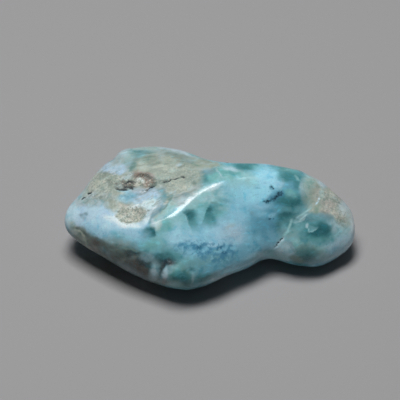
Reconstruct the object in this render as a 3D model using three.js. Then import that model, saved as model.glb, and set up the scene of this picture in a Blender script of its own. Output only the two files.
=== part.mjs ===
// A freeform piece of larimar: one rounded, polished nugget with a broad brow at one end, a
// long sloping face in front of it, a crisp ridge between the two, and a smaller round lobe
// at the other end beyond a shallow crease.
// Millimetres, +Z up. X runs along the stone, and it rests on the XY plane with the middle
// of its outline over the origin.
import * as THREE from "three";

// Stations along the stone. At each one, front and back are how far the belly and the back
// swell in Y, under and top are the heights of the underside and the crown, and ridge is
// the Y and Z of the edge where the long front face breaks into the brow.
const STATIONS = [
  { x: -30.4, front: -2.9, back: 3.0, under: 6.6, top: 11.3, ridge: [-1.2, 10.2] },
  { x: -27.5, front: -5.8, back: 7.0, under: 4.5, top: 13.5, ridge: [-3.4, 11.5] },
  { x: -23.0, front: -9.4, back: 12.8, under: 2.7, top: 17.0, ridge: [-5.8, 13.6] },
  { x: -18.0, front: -12.9, back: 17.4, under: 1.0, top: 19.1, ridge: [-7.6, 15.0] },
  { x: -12.5, front: -16.0, back: 19.0, under: 0.0, top: 19.8, ridge: [-8.4, 15.8] },
  { x: -6.5, front: -18.4, back: 17.8, under: 0.0, top: 20.0, ridge: [-6.0, 17.8] },
  { x: 0.0, front: -17.6, back: 14.2, under: 0.0, top: 20.1, ridge: [-0.6, 19.2] },
  { x: 6.5, front: -13.3, back: 12.6, under: 0.3, top: 19.8, ridge: [2.0, 19.4] },
  { x: 12.5, front: -10.1, back: 12.5, under: 1.4, top: 19.3, ridge: [1.8, 18.8] },
  { x: 18.0, front: -10.1, back: 12.0, under: 0.3, top: 18.1, ridge: [0.6, 17.6] },
  { x: 23.5, front: -9.4, back: 9.4, under: 0.0, top: 15.3, ridge: [-1.0, 14.8] },
  { x: 28.0, front: -6.4, back: 6.4, under: 1.4, top: 12.2, ridge: [-1.2, 11.8] },
  { x: 30.4, front: -3.6, back: 3.2, under: 4.0, top: 10.0, ridge: [-0.6, 9.7] },
];
const LEFT_TIP = [-31.3, -0.6, 8.8];
const RIGHT_TIP = [31.2, -0.2, 7.0];

// Where the ridge is crisp along X, how fast it softens beyond that, and how much of the
// corner is rounded away in the crisp part and in the soft one.
const RIDGE = { from: -13, to: 6, fade: 9, crisp: 0.16, soft: 0.9 };

// Dents (deep above zero) and swellings (deep below zero) worn into the skin, each along a
// path over it, with the distance over which it dies away.
const WEAR = [
  {
    name: "crease beside the round lobe",
    path: [[23, 1, 15], [19, -3.6, 14.4], [16.6, -6.4, 13], [14.8, -8.6, 10], [13, -9.4, 6]],
    reach: 3.2,
    deep: 1.0,
  },
  { name: "round lobe", path: [[22, -7, 9], [26, -4, 10]], reach: 4.5, deep: -0.7 },
  { name: "granular pocket", path: [[-19, -4.4, 15], [-14, -3.6, 16]], reach: 3.0, deep: 0.45 },
  { name: "boss above the keel", path: [[-9.2, -16, 9.4], [-6, -17, 8.4]], reach: 2.2, deep: -0.4 },
  { name: "hollow behind the waist", path: [[2, 13, 11], [10, 12, 8]], reach: 6.0, deep: 0.7 },
  { name: "hollow under the nose", path: [[-23, -1, 2], [-19, 7, 1]], reach: 5.0, deep: 0.5 },
];

const SOLE = 0.5; // how much of the underside is worn flat where the stone rests
const RINGS = 72; // sections between the two tips
const ARC_STEPS = 5; // points round each corner of a section
const STONE_COLOUR = "#7fb3bd";

// The nine corners of a section, going round from the front keel, and how much of each is
// rounded away: 0 keeps it sharp and 1 rounds it to the middle of its neighbouring flats.
const CORNER_ROUNDS = [0.9, 0.95, 0.9, RIDGE.soft, 0.9, 0.7, 0.95, 0.9, 0.9];
const RIDGE_CORNER = 3;

function corners({ front, back, under, top, ridge: [ridgeY, ridgeZ] }) {
  const depth = back - front;
  const height = top - under;
  const bellyZ = under + 0.38 * height;
  return [
    [front + 0.1 * depth, under + 0.1 * height],
    [front, bellyZ],
    [front + 0.4 * (ridgeY - front), bellyZ + 0.53 * (ridgeZ - bellyZ)],
    [ridgeY, ridgeZ],
    [0.5 * (ridgeY + back), top],
    [back - 0.13 * depth, top - 0.11 * height],
    [back, under + 0.48 * height],
    [back - 0.14 * depth, under + 0.08 * height],
    [0.5 * (front + back), under],
  ];
}

// One smooth rail through the same corner of every station, from tip to tip.
const rails = CORNER_ROUNDS.map((_, corner) => {
  const posts = STATIONS.map((station) => {
    const [y, z] = corners(station)[corner];
    return new THREE.Vector3(station.x, y, z);
  });
  return new THREE.CatmullRomCurve3(
    [new THREE.Vector3(...LEFT_TIP), ...posts, new THREE.Vector3(...RIGHT_TIP)],
    false,
    "centripetal",
  );
});

function roundOf(corner, x) {
  if (corner !== RIDGE_CORNER) return CORNER_ROUNDS[corner];
  const beyond = Math.max(RIDGE.from - x, x - RIDGE.to, 0);
  return THREE.MathUtils.lerp(
    RIDGE.crisp,
    RIDGE.soft,
    THREE.MathUtils.smoothstep(beyond, 0, RIDGE.fade),
  );
}

// The ring of points of the section at a share of the way along the rails.
function ringAt(share) {
  const posts = rails.map((rail) => rail.getPoint(share));
  return posts.flatMap((post, corner) => {
    const before = posts[(corner + posts.length - 1) % posts.length];
    const after = posts[(corner + 1) % posts.length];
    const cut = roundOf(corner, post.x) / 2;
    const bend = new THREE.QuadraticBezierCurve3(
      post.clone().lerp(before, cut),
      post,
      post.clone().lerp(after, cut),
    );
    return bend.getPoints(ARC_STEPS);
  });
}

// The closed skin: a fan at each tip and a band of triangles between neighbouring rings.
function skin() {
  const rings = [];
  for (let i = 1; i <= RINGS; i += 1) rings.push(ringAt(i / (RINGS + 1)));
  const around = rings[0].length;
  const points = [new THREE.Vector3(...LEFT_TIP), ...rings.flat(), new THREE.Vector3(...RIGHT_TIP)];
  const last = points.length - 1;
  const at = (ring, step) => 1 + ring * around + (step % around);
  const faces = [];
  for (let step = 0; step < around; step += 1) {
    faces.push(0, at(0, step), at(0, step + 1));
    faces.push(last, at(RINGS - 1, step + 1), at(RINGS - 1, step));
    for (let ring = 0; ring < RINGS - 1; ring += 1) {
      faces.push(at(ring, step), at(ring + 1, step), at(ring + 1, step + 1));
      faces.push(at(ring, step), at(ring + 1, step + 1), at(ring, step + 1));
    }
  }
  const geometry = new THREE.BufferGeometry().setFromPoints(points);
  geometry.setIndex(faces);
  geometry.computeVertexNormals();
  return geometry;
}

// How far the wear moves a point of the skin inwards.
const wearPaths = WEAR.map(({ path, reach, deep }) => {
  const posts = path.map((post) => new THREE.Vector3(...post));
  const lines = posts.slice(1).map((end, i) => new THREE.Line3(posts[i], end));
  return { lines, reach, deep };
});

function wornDepth(point) {
  const near = new THREE.Vector3();
  return wearPaths.reduce((sum, { lines, reach, deep }) => {
    const gaps = lines.map((line) => line.closestPointToPoint(point, true, near).distanceTo(point));
    return sum + deep * Math.exp(-((Math.min(...gaps) / reach) ** 2));
  }, 0);
}

function wear(geometry) {
  const { position, normal } = geometry.attributes;
  const point = new THREE.Vector3();
  const outward = new THREE.Vector3();
  for (let i = 0; i < position.count; i += 1) {
    point.fromBufferAttribute(position, i);
    outward.fromBufferAttribute(normal, i);
    point.addScaledVector(outward, -wornDepth(point));
    position.setXYZ(i, point.x, point.y, Math.max(point.z, SOLE));
  }
}

const geometry = skin();
wear(geometry);
geometry.computeBoundingBox();
const { min, max } = geometry.boundingBox;
geometry.translate(-(min.x + max.x) / 2, -(min.y + max.y) / 2, -min.z);
geometry.computeVertexNormals();

const stone = new THREE.Mesh(
  geometry,
  new THREE.MeshStandardMaterial({ color: STONE_COLOUR, roughness: 0.25, metalness: 0 }),
);
stone.name = "larimar_nugget";

const larimar = new THREE.Group();
larimar.add(stone);
export default larimar;
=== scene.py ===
"""A polished freeform of larimar on a plain floor: a Blender add-on that is run as a script.

The stone's skin is cut fine from the frame's solid, smoothed and given its relief: waves left by
hand polishing, granular matrix, a brown vug, cracks and pits. Its colours are stained into the skin
as soft ovals and veins, placed in millimetres on each side of the stone, and the material adds the
clouds, fibres, grains and specks that are finer than the skin's squares. A few stains are painted
light: highlights on the wedge and the lip of the pocket, beside the ridge and on the boss, and
shade in the crevice over the boss.
"""

import math
from typing import NamedTuple

import bmesh
import bpy
import numpy as np
from bpy.props import FloatProperty, FloatVectorProperty, IntProperty, PointerProperty
from mathutils import Matrix, Vector, noise
from mathutils.bvhtree import BVHTree


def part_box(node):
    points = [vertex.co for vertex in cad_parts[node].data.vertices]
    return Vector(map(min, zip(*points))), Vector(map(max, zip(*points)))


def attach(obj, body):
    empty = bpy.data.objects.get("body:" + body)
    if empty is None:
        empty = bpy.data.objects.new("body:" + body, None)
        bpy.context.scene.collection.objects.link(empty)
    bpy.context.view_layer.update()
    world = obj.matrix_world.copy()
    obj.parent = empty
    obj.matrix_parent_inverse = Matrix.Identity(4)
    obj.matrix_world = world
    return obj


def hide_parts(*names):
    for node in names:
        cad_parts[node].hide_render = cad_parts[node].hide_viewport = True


bl_info = {
    "name": "Larimar Freeform",
    "version": (1, 0, 0),
    "blender": (4, 5, 0),
    "location": "3D View > Sidebar > Larimar",
    "description": "Builds a polished larimar freeform and the plain stage it is shown on",
    "category": "Object",
}

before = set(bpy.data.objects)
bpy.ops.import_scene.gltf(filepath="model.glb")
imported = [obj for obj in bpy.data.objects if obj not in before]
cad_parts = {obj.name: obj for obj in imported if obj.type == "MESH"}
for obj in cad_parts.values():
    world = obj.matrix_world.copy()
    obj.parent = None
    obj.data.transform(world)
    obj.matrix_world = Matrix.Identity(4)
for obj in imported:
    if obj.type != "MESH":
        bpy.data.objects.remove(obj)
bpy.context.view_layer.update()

NODE = "larimar_nugget"
MM = 0.001
LOW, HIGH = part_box(NODE)
MIDDLE = (LOW + HIGH) / 2 / MM  # of the solid's box, in mm
DIAGONAL = (HIGH - LOW).length  # of the solid's box, in metres
NOISE_SEED = 3  # without it, the noise that pushes points about is new in every run


# ---------------------------------------------------------------------------------------
# Places on the stone
# ---------------------------------------------------------------------------------------


def facing(azimuth, elevation):
    """The axes of a side of the stone seen from there: along it, up it and out of it."""
    turn = math.radians(azimuth)
    lift = math.radians(elevation)
    out = Vector(
        (math.sin(turn) * math.cos(lift), -math.cos(turn) * math.cos(lift), math.sin(lift))
    )
    along = Vector((math.cos(turn), math.sin(turn), 0))
    return Matrix((along, out.cross(along), out)).transposed()


SIDES = {
    "show": facing(0, 45),
    "back": facing(180, 35),
    "under": facing(0, -70),
}


class Spot(NamedTuple):
    """An oval on a side of the stone: its middle and half sizes in mm, and its turn in degrees."""

    along: float
    up: float
    wide: float
    tall: float
    turn: float = 0.0
    side: str = "show"


DEPTH_SHARE = 3.0  # how deep an oval reaches into the stone, as a share of its mean half size
SHALLOWEST = 2.5  # mm, as deep as every oval reaches
DEEPEST = 8.5  # mm, as deep as any oval reaches


def stone_tree():
    """The frame's solid as a tree that rays can be cast at."""
    solid = bmesh.new()
    solid.from_mesh(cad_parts[NODE].data)
    tree = BVHTree.FromBMesh(solid)
    solid.free()
    return tree


TREE = stone_tree()


def on_skin(side, along, up):
    """The point of the skin, in mm, that shows at this place on a side of the stone."""
    axes = SIDES[side]
    start = MIDDLE + axes @ Vector((along, up, DIAGONAL / MM))
    hit = TREE.ray_cast(start * MM, -axes.col[2])[0]
    if hit is None:
        nearest = TREE.find_nearest((MIDDLE + axes @ Vector((along, up, 0))) * MM)[0]
        return nearest / MM
    return hit / MM


def oval(spot):
    """The matrix that places a unit ball on a spot of the skin, in mm."""
    deep = min(max(DEPTH_SHARE * (spot.wide + spot.tall) / 2, SHALLOWEST), DEEPEST)
    return (
        Matrix.Translation(on_skin(spot.side, spot.along, spot.up))
        @ SIDES[spot.side].to_4x4()
        @ Matrix.Rotation(math.radians(spot.turn), 4, "Z")
        @ Matrix.Diagonal((spot.wide, spot.tall, deep, 1))
    )


def strokes(path, half_width):
    """Thin ovals laid end to end along a path of (along, up) points on the show side."""
    for (start_along, start_up), (end_along, end_up) in zip(path, path[1:]):
        run = end_along - start_along
        rise = end_up - start_up
        yield Spot(
            (start_along + end_along) / 2,
            (start_up + end_up) / 2,
            math.hypot(run, rise) / 2 + half_width,
            half_width,
            math.degrees(math.atan2(rise, run)),
        )


def inside(points, spot):
    """The points in a spot's own frame, where its rim is one away from its middle."""
    inverse = np.array(oval(spot).inverted())
    return points @ inverse[:3, :3].T + inverse[:3, 3]


def smoothstep(low, high, value):
    """Goes smoothly from 0 to 1 as the value goes from low to high."""
    share = np.clip((value - low) / (high - low), 0.0, 1.0)
    return share * share * (3 - 2 * share)


def reach(local):
    """How far out points in a spot's frame are: 1 at its rim, which is blunt in depth."""
    return np.sqrt(local[:, 0] ** 2 + local[:, 1] ** 2 + local[:, 2] ** 6)


def cover(points, spot, soft):
    """1 inside a spot and 0 outside it, going over softly at its rim."""
    return smoothstep(1 + soft, 1 - soft, reach(inside(points, spot)))


def lumps(points, wave):
    """Noise from -1 to 1 with waves of this length in mm."""
    return np.array([noise.noise(Vector(point)) for point in points / wave])


def churned(points, waves):
    """The points pushed about by noise, one (wave length, push) pair in mm at a time."""
    moved = points
    for wave, push in waves:
        swirl = np.array([noise.noise_vector(Vector(point)) for point in moved / wave])
        moved = moved + push * swirl
    return moved


# ---------------------------------------------------------------------------------------
# The stone's relief
# ---------------------------------------------------------------------------------------


class Rough(NamedTuple):
    """Where granular matrix comes to the skin, how coarse it is there, and how soft its rim is."""

    spot: Spot
    coarse: float
    soft: float = 0.3


MATRIX = [
    # the brow
    Rough(Spot(-22.6, 6.4, 4.4, 2.6, 38), 0.6, 0.15),
    Rough(Spot(-20.4, 3.6, 1.6, 2.6, 20), 0.55, 0.15),
    Rough(Spot(-16.8, 7.4, 3.4, 1.7, 8), 0.75, 0.15),
    Rough(Spot(-10.6, 10.2, 4.6, 2.4), 0.45, 0.15),
    Rough(Spot(-6.4, 8.2, 4.2, 3.2, 10), 0.56, 0.15),
    Rough(Spot(-6.2, 5.6, 2.8, 1.2, 10), 0.56, 0.15),
    Rough(Spot(-1.2, 10.6, 3.2, 0.9, 3), 0.35, 0.15),
    # the pocket
    Rough(Spot(-16.9, 0.2, 3, 2.1, 5), 1, 0.1),
    Rough(Spot(-14.2, 1, 1.7, 0.8, 4), 1, 0.1),
    Rough(Spot(-18, 2.3, 2, 0.8, -14), 0.5),
    Rough(Spot(-19.6, 0.8, 0.8, 1.8, 10), 0.5),
    Rough(Spot(-20.6, 1.4, 0.9, 1.3), 0.3, 0.5),
    # the vug, and the cracks beside it
    Rough(Spot(-14, 7.6, 2.6, 1.6, -12), 0.8),
    Rough(Spot(-17.4, 6.4, 2.6, 1, 6), 0.8),
    Rough(Spot(-9.6, 7.2, 2.2, 1, 6), 0.6),
    Rough(Spot(-14.6, 5.8, 2.2, 0.7, 8), 0.5, 0.4),
    Rough(Spot(-16.4, 4, 3.4, 1.5), 0.42),
    # the rim of the ridge
    Rough(Spot(-8.2, 1.4, 2.8, 0.9, 36), 0.25, 0.5),
    Rough(Spot(-5.6, 2.4, 2, 0.9, 40), 0.12, 0.6),
    # the seam
    *(Rough(spot, 0.45, 0.5) for spot in strokes(((21.6, 2.2), (20, 0.2), (18.4, -1)), 1)),
    # the crevice over the boss
    Rough(Spot(-9.2, -9.8, 3.4, 1.7, -8), 0.42, 0.4),
    Rough(Spot(-9.9, -11.6, 1.4, 2.4), 0.42, 0.4),
    # below the nose, and beside the boss
    Rough(Spot(-25, -5.6, 4.6, 1.8, -36), 0.35),
    Rough(Spot(-18.4, -9, 5, 2.4, -24), 0.42),
    Rough(Spot(-12.6, -11.8, 2.6, 2.4, -30), 0.4),
    # the round lobe
    Rough(Spot(25.6, 2.9, 4, 2.8, -40), 0.6, 0.4),
    Rough(Spot(28, -0.4, 1.8, 1.8, -40), 0.6),
    Rough(Spot(22, 4.2, 1.5, 2), 0.3, 0.4),
]


class Hollow(NamedTuple):
    """A hollow in the skin, its depth in mm, and how soft its rim is: 1 is a smooth bowl. One with
    a negative depth is a lump."""

    spot: Spot
    deep: float
    soft: float = 1.0


HOLLOWS = [
    # the basin that holds the sky patch, and the pocket in it
    Hollow(Spot(-15.6, 1.6, 2.8, 2.4, 8), 1),
    Hollow(Spot(-16.8, 0, 2.7, 1.5, 3), 0.25, 0.25),
    # the vug and the pale lump in it
    Hollow(Spot(-13.9, 7.5, 2.2, 1.3, -12), 0.6, 0.3),
    Hollow(Spot(-14.4, 7.5, 1, 0.6, -28), -0.4, 0.5),
    Hollow(Spot(-16.8, 6.6, 1.7, 0.5, 10), 0.2, 0.4),
    # the crevice over the boss
    Hollow(Spot(-9.4, -9.2, 2.2, 1, -10), 0.1),
    Hollow(Spot(-10, -10.8, 0.6, 2, -8), 0.25),
    # the boss below it
    Hollow(Spot(-8.3, -11.7, 1.9, 1.5, 20), -0.18),
    # the corner of the rim behind the brow
    Hollow(Spot(-18.4, 13.2, 1.7, 1.3, 30), -0.55, 0.8),
    Hollow(Spot(-20.4, 12, 1, 0.8, 40), 0.25),
    Hollow(Spot(-26.2, 5.4, 1.4, 0.9, 45), 0.25),
    Hollow(Spot(-13.4, -13.8, 3, 1, -22), -0.35),
    # the far rim of the shoulder
    Hollow(Spot(9, 12.4, 10, 2, -2), 0.7, 0.6),
    Hollow(Spot(16.5, 10.4, 2.8, 1.1, -10), 0.25),
    Hollow(Spot(24, 7, 2.2, 1.2, -35), -0.45),
    # the eye of the round lobe, and its outer rim
    Hollow(Spot(23.6, -2.9, 2.8, 1.7, -6), 0.18, 0.8),
    Hollow(Spot(29.6, -5.2, 1.6, 2.4, -20), -0.35),
    # the foot of the keel
    Hollow(Spot(3, -14.2, 5.2, 1.7, 24), 0.9),
    # the nose and the brow's outer rim
    Hollow(Spot(-28.4, 3, 2.4, 1.8, 45), 0.3),
    Hollow(Spot(-22.8, 10, 3.2, 1.2, 42), -0.2),
]


class Crack(NamedTuple):
    """A crack along a path of (along, up) points, with its half width and depth in mm."""

    path: tuple
    half_width: float
    deep: float


CRACKS = [
    Crack(((-19.9, 5.6), (-18.8, 5.5), (-17.6, 5.5)), 0.3, 0.22),
    Crack(((-17.9, 6.1), (-17, 6), (-16.3, 5.6)), 0.3, 0.22),
    Crack(((-17.8, 6.9), (-16.9, 7.2), (-15.8, 7.1)), 0.22, 0.18),
    Crack(((-13.4, 5.3), (-12.6, 5.8), (-11.6, 6.1)), 0.25, 0.2),
    Crack(((-9.6, 7.1), (-8.7, 7.3)), 0.2, 0.2),
    Crack(((-8.7, 7.3), (-7.8, 7.7), (-6.2, 8.2), (-5, 8)), 0.16, 0.22),
    Crack(((-26.2, 4.8), (-25.3, 5)), 0.22, 0.2),
    Crack(((-27.3, 3.7), (-26.6, 4.2)), 0.2, 0.2),
    Crack(((15.7, -4.7), (15.1, -5.4), (14.3, -6.1), (13.7, -6.8)), 0.12, 0.22),
]
# Cracks without a black gap.
SEAMS = [
    Crack(
        ((20.9, 1.6), (20, 0.4), (18.8, -0.8), (17.4, -1.4), (16.7, -3), (15.8, -4.4)),
        0.4,
        0.03,
    ),
]


# ---------------------------------------------------------------------------------------
# The stone's stains
# ---------------------------------------------------------------------------------------


class Patch(NamedTuple):
    """A patch of colour: the oval that it fills, how strong it is, how soft its rim is, and the
    straight edges that cut it. An edge is the way it faces in degrees, how far it stands from the
    middle as a share of the oval, and how soft it is."""

    side: str
    colour: str
    along: float
    up: float
    wide: float
    tall: float
    turn: float = 0.0
    strength: float = 0.8
    soft: float = 0.8
    edges: tuple = ()

    def spot(self):
        """The oval that it fills."""
        return Spot(self.along, self.up, self.wide, self.tall, self.turn, self.side)


def vein(colour, path, half_width, strength=0.8, soft=0.6):
    """Rows for patches that make a line of colour along a path of (along, up) points."""
    for spot in strokes(path, half_width):
        yield colour, spot.along, spot.up, spot.wide, spot.tall, spot.turn, strength, soft


# Each row of these lists is a patch: its colour, along, up, wide, tall, turn, strength, soft and
# edges. The lists are in the order in which they are painted, each row over those before it.
BACK = [
    ("khaki", 9, 6.5, 8, 2.6, 6, 0.9, 0.35),
    ("sand", 11.5, 5.8, 3, 1.2, 14, 0.7, 0.6),
    ("lichen", 5.8, 6.4, 3.6, 0.9, 10, 0.8, 0.6),
    ("sea_grey", 15.5, 2.4, 6, 3, -14, 0.8, 0.5),
    ("milk", 17, 0.8, 4, 1.9, -20, 0.9, 0.5),
    ("jade", 3, 1.6, 5, 2.4, 8, 0.8, 0.5),
    ("sky", -7, 4.6, 6, 2.8, -8, 0.9, 0.4),
    ("milk", -9, 3.4, 3.6, 1.5, -12, 0.8, 0.6),
    ("teal", -16, 3.6, 3.6, 2.4, 12, 0.9, 0.5),
    ("deep_teal", -15.6, 2.6, 2, 1.1, 16, 0.8, 0.7),
    ("beige", -24.6, 2.6, 3.8, 2.8, 24, 0.9, 0.4),
    ("lake", -3, -1.6, 7, 2.2, -4, 0.8, 0.6),
    ("royal", -0.6, -2.4, 3.8, 1, -6, 0.8, 0.7),
    ("mint", 9.6, -2.6, 4.6, 1.5, 10, 0.7, 0.6),
    ("slate", 20.6, -2.2, 4, 2, 12, 0.7, 0.6),
]
UNDERSIDE = [
    ("olive", -15, 1, 8, 4.2, -12, 0.8, 0.5),
    ("lichen", -18, 2.2, 4.6, 2.2, -20, 0.8, 0.6),
    ("stone", -10, -1.4, 4, 2, 10, 0.8, 0.6),
    ("sky", 2, 1, 8, 4.4, 6, 0.8, 0.5),
    ("milk", 4.6, 2.4, 4.2, 1.8, 14, 0.8, 0.6),
    ("lake", -2, -4, 6, 2.4, 0, 0.8, 0.6),
    ("teal", 12, -1.6, 4.4, 3, 20, 0.8, 0.5),
    ("deep_teal", 12.8, -2.2, 2.2, 1.3, 24, 0.8, 0.7),
    ("aqua", 22, 0.6, 5.6, 3.6, 0, 0.8, 0.5),
]
FRONT_FACE = [
    ("sky", 0, -2.6, 12.5, 6.4, -2, 1, 0.3),
    ("aqua", -8.6, -4.4, 3.8, 4.8, 0, 0.8, 0.5),
    ("aqua", -6.6, -1.6, 2.4, 2.4, 0, 0.8, 0.5),
    ("celadon", 1.4, 4.6, 5.4, 2, 16, 0.6, 0.35),
    ("mint", -2.2, 2.8, 3.2, 1.5, 30, 0.95, 0.45),
    ("frost", -3, 2.6, 1.8, 0.7, 28, 0.6),
    ("jade", -8.7, -1.7, 1.2, 1.2, 0, 0.8, 0.6),
    ("jade", -10.2, -3.6, 1.4, 1.2, 0, 0.6),
    ("jade", -10.8, -6.2, 1.8, 1.4, 0, 0.4),
    ("milk", -7.2, -2.6, 1.6, 2.2, 10, 0.6),
    ("milk", -8, -5.4, 3.2, 1.4, -4, 0.7),
    ("milk", -3.6, -5.4, 2.6, 0.7, 0, 0.6),
    ("mint", -7.2, -0.8, 2.2, 1.3, 25, 0.6),
    ("jade", -8.9, -1.9, 1.1, 1.2, 0, 0.9, 0.7),
    ("jade", -10.8, -5.8, 1.8, 1.4, 0, 0.6),
    # the round pale cloud with a crisp right rim
    ("milk", 3.4, -2.2, 5.8, 4.4, -30, 0.6, 0.16),
    ("lilac", 5, -3.6, 2.6, 1.9, 15, 0.6),
    ("milk", -5.6, -4, 2.8, 1, 5, 0.5),
    ("milk", 1.2, -5.4, 2, 0.6, 12, 0.7),
    ("blue", 4.6, -0.6, 2.6, 1.2, -20, 0.5),
    ("haze", 4.4, -2.2, 0.9, 0.3, 30, 0.5, 0.9),
    # green wedges below the ridge
    ("teal", -0.8, 0.5, 4, 2.2, 5, 0.6, 0.7),
    ("jade", -2.6, 1.4, 2.4, 0.8, 8, 0.7, 0.6),
    ("sky", -2.4, -2.8, 2.2, 1.4, 0, 0.8, 0.7, ((204, 0.4, 0.06),)),
    ("aqua", -1.8, 0.4, 1.4, 1.4, 0, 0.9, 0.6),
    (
        "teal", -3.4, -0.4, 2.6, 2.6, 0, 0.9, 0.5,
        ((204, 0.57, 0.05), (101, 0.68, 0.08), (20, 0.26, 0.26)),
    ),
    ("deep_teal", -4.4, 0.2, 1.4, 1.5, 0, 0.8, 0.6, ((204, 0.6, 0.08), (101, 0.66, 0.12))),
    ("dark_teal", -4.3, 0.3, 0.8, 0.8, 0, 0.7, 0.8, ((204, 0.7, 0.12),)),
    ("jade", 1.6, 1.2, 2, 1.5, 0, 0.8, 0.7),
    ("teal", 1.3, 1.4, 1.2, 1.2, 0, 0.7),
    ("teal", -0.2, -0.2, 2.2, 2.2, 0, 0.9, 0.5, ((159, 0.43, 0.05), (27, 0.52, 0.34))),
    ("deep_teal", -0.3, 0.7, 1.4, 1.4, 0, 0.9, 0.6, ((159, 0.4, 0.07), (27, 0.6, 0.4))),
    ("dark_teal", 0.1, 1.5, 0.8, 0.8, 0, 0.7, 0.8, ((159, 0.46, 0.12),)),
    ("mint", -2.8, 2.4, 2, 0.8, 28, 0.9, 0.7),
    ("mint", -0.4, 3.2, 1.8, 0.6, 10, 0.9, 0.7),
    ("frost", -0.2, 3.5, 1.3, 0.5, 10, 0.6),
    ("mint", 3, 1.8, 1.2, 0.7, 0, 0.6),
    ("frost", 3, 1.8, 1.2, 0.7, 0, 0.4),
    ("mint", 2.2, 3.2, 1, 0.5, 0, 0.7),
    ("jade", 3.2, 6, 1, 0.7, 0, 0.6),
    ("teal", 4.1, 2.9, 0.9, 0.5, 0, 0.5),
    # painted highlight beside the ridge's own, which widens it
    ("chalk", 0.8, 5.9, 1.8, 0.5, 24, 0.6),
    ("moss", 0.9, 2.65, 0.65, 0.2, 0, 0.8, 0.7),
    ("teal", 3.7, 3.1, 1.8, 0.5, -6, 0.9, 0.7),
    ("teal", 1.6, 2.2, 1.2, 0.5, -4, 0.6),
    *vein("frost", ((-5.5, 0.6), (-4.3, -2.2), (-3.4, -4.6)), 0.13, 0.4),
]
BLUE_NET = [
    ("blue", -2.6, -7.2, 4.2, 1.6, -4, 0.8, 0.6),
    ("royal", -3.4, -7, 2.8, 1, -4, 0.6, 0.6),
    ("royal", 1.8, -7.8, 3.6, 1.9, -4, 0.9, 0.55),
    ("lake", 2.6, -9.6, 2.6, 1, 5),
    ("sky", -1, -7.2, 1, 0.4, 42, 0.8, 0.7),
    ("sky", -3.2, -8.4, 1.4, 0.4, 10, 0.5),
    ("milk", 0.9, -5.9, 1.7, 0.55, 12, 0.9, 0.6),
    ("sky", -2.4, -5.6, 2.2, 0.4, 4, 0.7, 0.7),
    ("aqua", 1.4, -7.4, 0.8, 0.3, 20, 0.7, 0.7),
    ("royal", -5.6, -6, 0.9, 0.4, 15, 0.9, 0.6),
    ("navy", -5, -6.9, 0.5, 0.3, -30, 0.7, 0.7),
    ("navy", -3.3, -6.2, 0.65, 0.32, 8, 0.8, 0.6),
    ("navy", -1.3, -6.1, 0.7, 0.3, -6, 0.8, 0.6),
    ("midnight", -2.2, -6.7, 0.75, 0.42, 25, 0.8, 0.6),
    ("navy", -4, -7.3, 0.55, 0.32, -20, 0.8, 0.6),
    ("navy", -0.1, -8, 0.6, 0.42, 0, 0.95, 0.6),
    ("navy", -1.3, -8.5, 0.4, 0.3, 0, 0.7, 0.7),
    ("midnight", 2.2, -6.8, 0.9, 0.3, 18, 0.9, 0.6),
    ("midnight", 3.1, -7.9, 0.75, 0.38, 15, 1, 0.6),
    ("navy", 1.4, -8.2, 0.6, 0.3, -10, 0.8, 0.7),
    ("navy", 2.3, -9, 0.45, 0.6, 20, 0.9, 0.6),
    ("navy", 4.6, -8, 0.8, 0.45, 10, 0.7, 0.7),
    ("navy", 4.4, -6.6, 1, 0.25, 5, 0.6),
    ("milk", 0.9, -5.9, 1.2, 0.5, 0, 0.7),
]
NOSE = [
    ("sea_grey", -29.6, -1.4, 2.6, 4.2, 20, 0.7, 0.6),
    ("pale", -28.2, 0.4, 3.6, 3.8, 30, 0.95, 0.4),
    ("pearl", -23.6, -0.4, 5, 3.8, -10, 1, 0.18),
    ("milk", -20.4, -3.2, 5.6, 2, -12, 1, 0.35),
    ("white", -24.6, 1.4, 1.9, 1.3, 0, 0.7),
    # painted highlight on the left end of the pocket's lip
    ("chalk", -20.7, -0.8, 1.6, 0.7, -24, 1, 0.6),
    ("sky", -24.6, -3.2, 1.9, 0.8, -25, 0.7),
    ("milk", -15.8, -4, 2.4, 1.3, -5, 0.9, 0.7),
    ("pearl", -29, -1.8, 1.4, 1, -30, 0.7),
    ("aqua", -18.8, -4.4, 2.2, 0.9, -8, 0.6),
    ("blue", -14.4, -5.2, 1.6, 1.2, 0, 0.6),
    ("haze", -26.8, -0.9, 1.2, 1, 10, 0.2),
    ("slate", -27.4, 0.1, 0.6, 0.4, 10, 0.8, 0.7),
    ("slate", -26.3, 0.3, 0.5, 0.35, 0, 0.8, 0.7),
    ("slate", -26.9, -0.5, 0.5, 0.3, 0, 0.5),
    ("white", -28.7, 0.2, 0.7, 1.6, -12, 0.7),
    ("sea_grey", -29.4, -0.6, 0.35, 1.6, -4, 0.6),
    ("haze", -27.6, 2.9, 1.4, 0.9, 30, 0.6),
    ("white", -29.9, 0.2, 0.9, 1.6),
    ("milk", -24.4, -2.2, 2.2, 0.9, -10),
    ("white", -21, -2, 1.5, 1, 0, 0.7),
    ("white", -24, -0.9, 1.6, 1.1, -10, 0.5),
]
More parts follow.
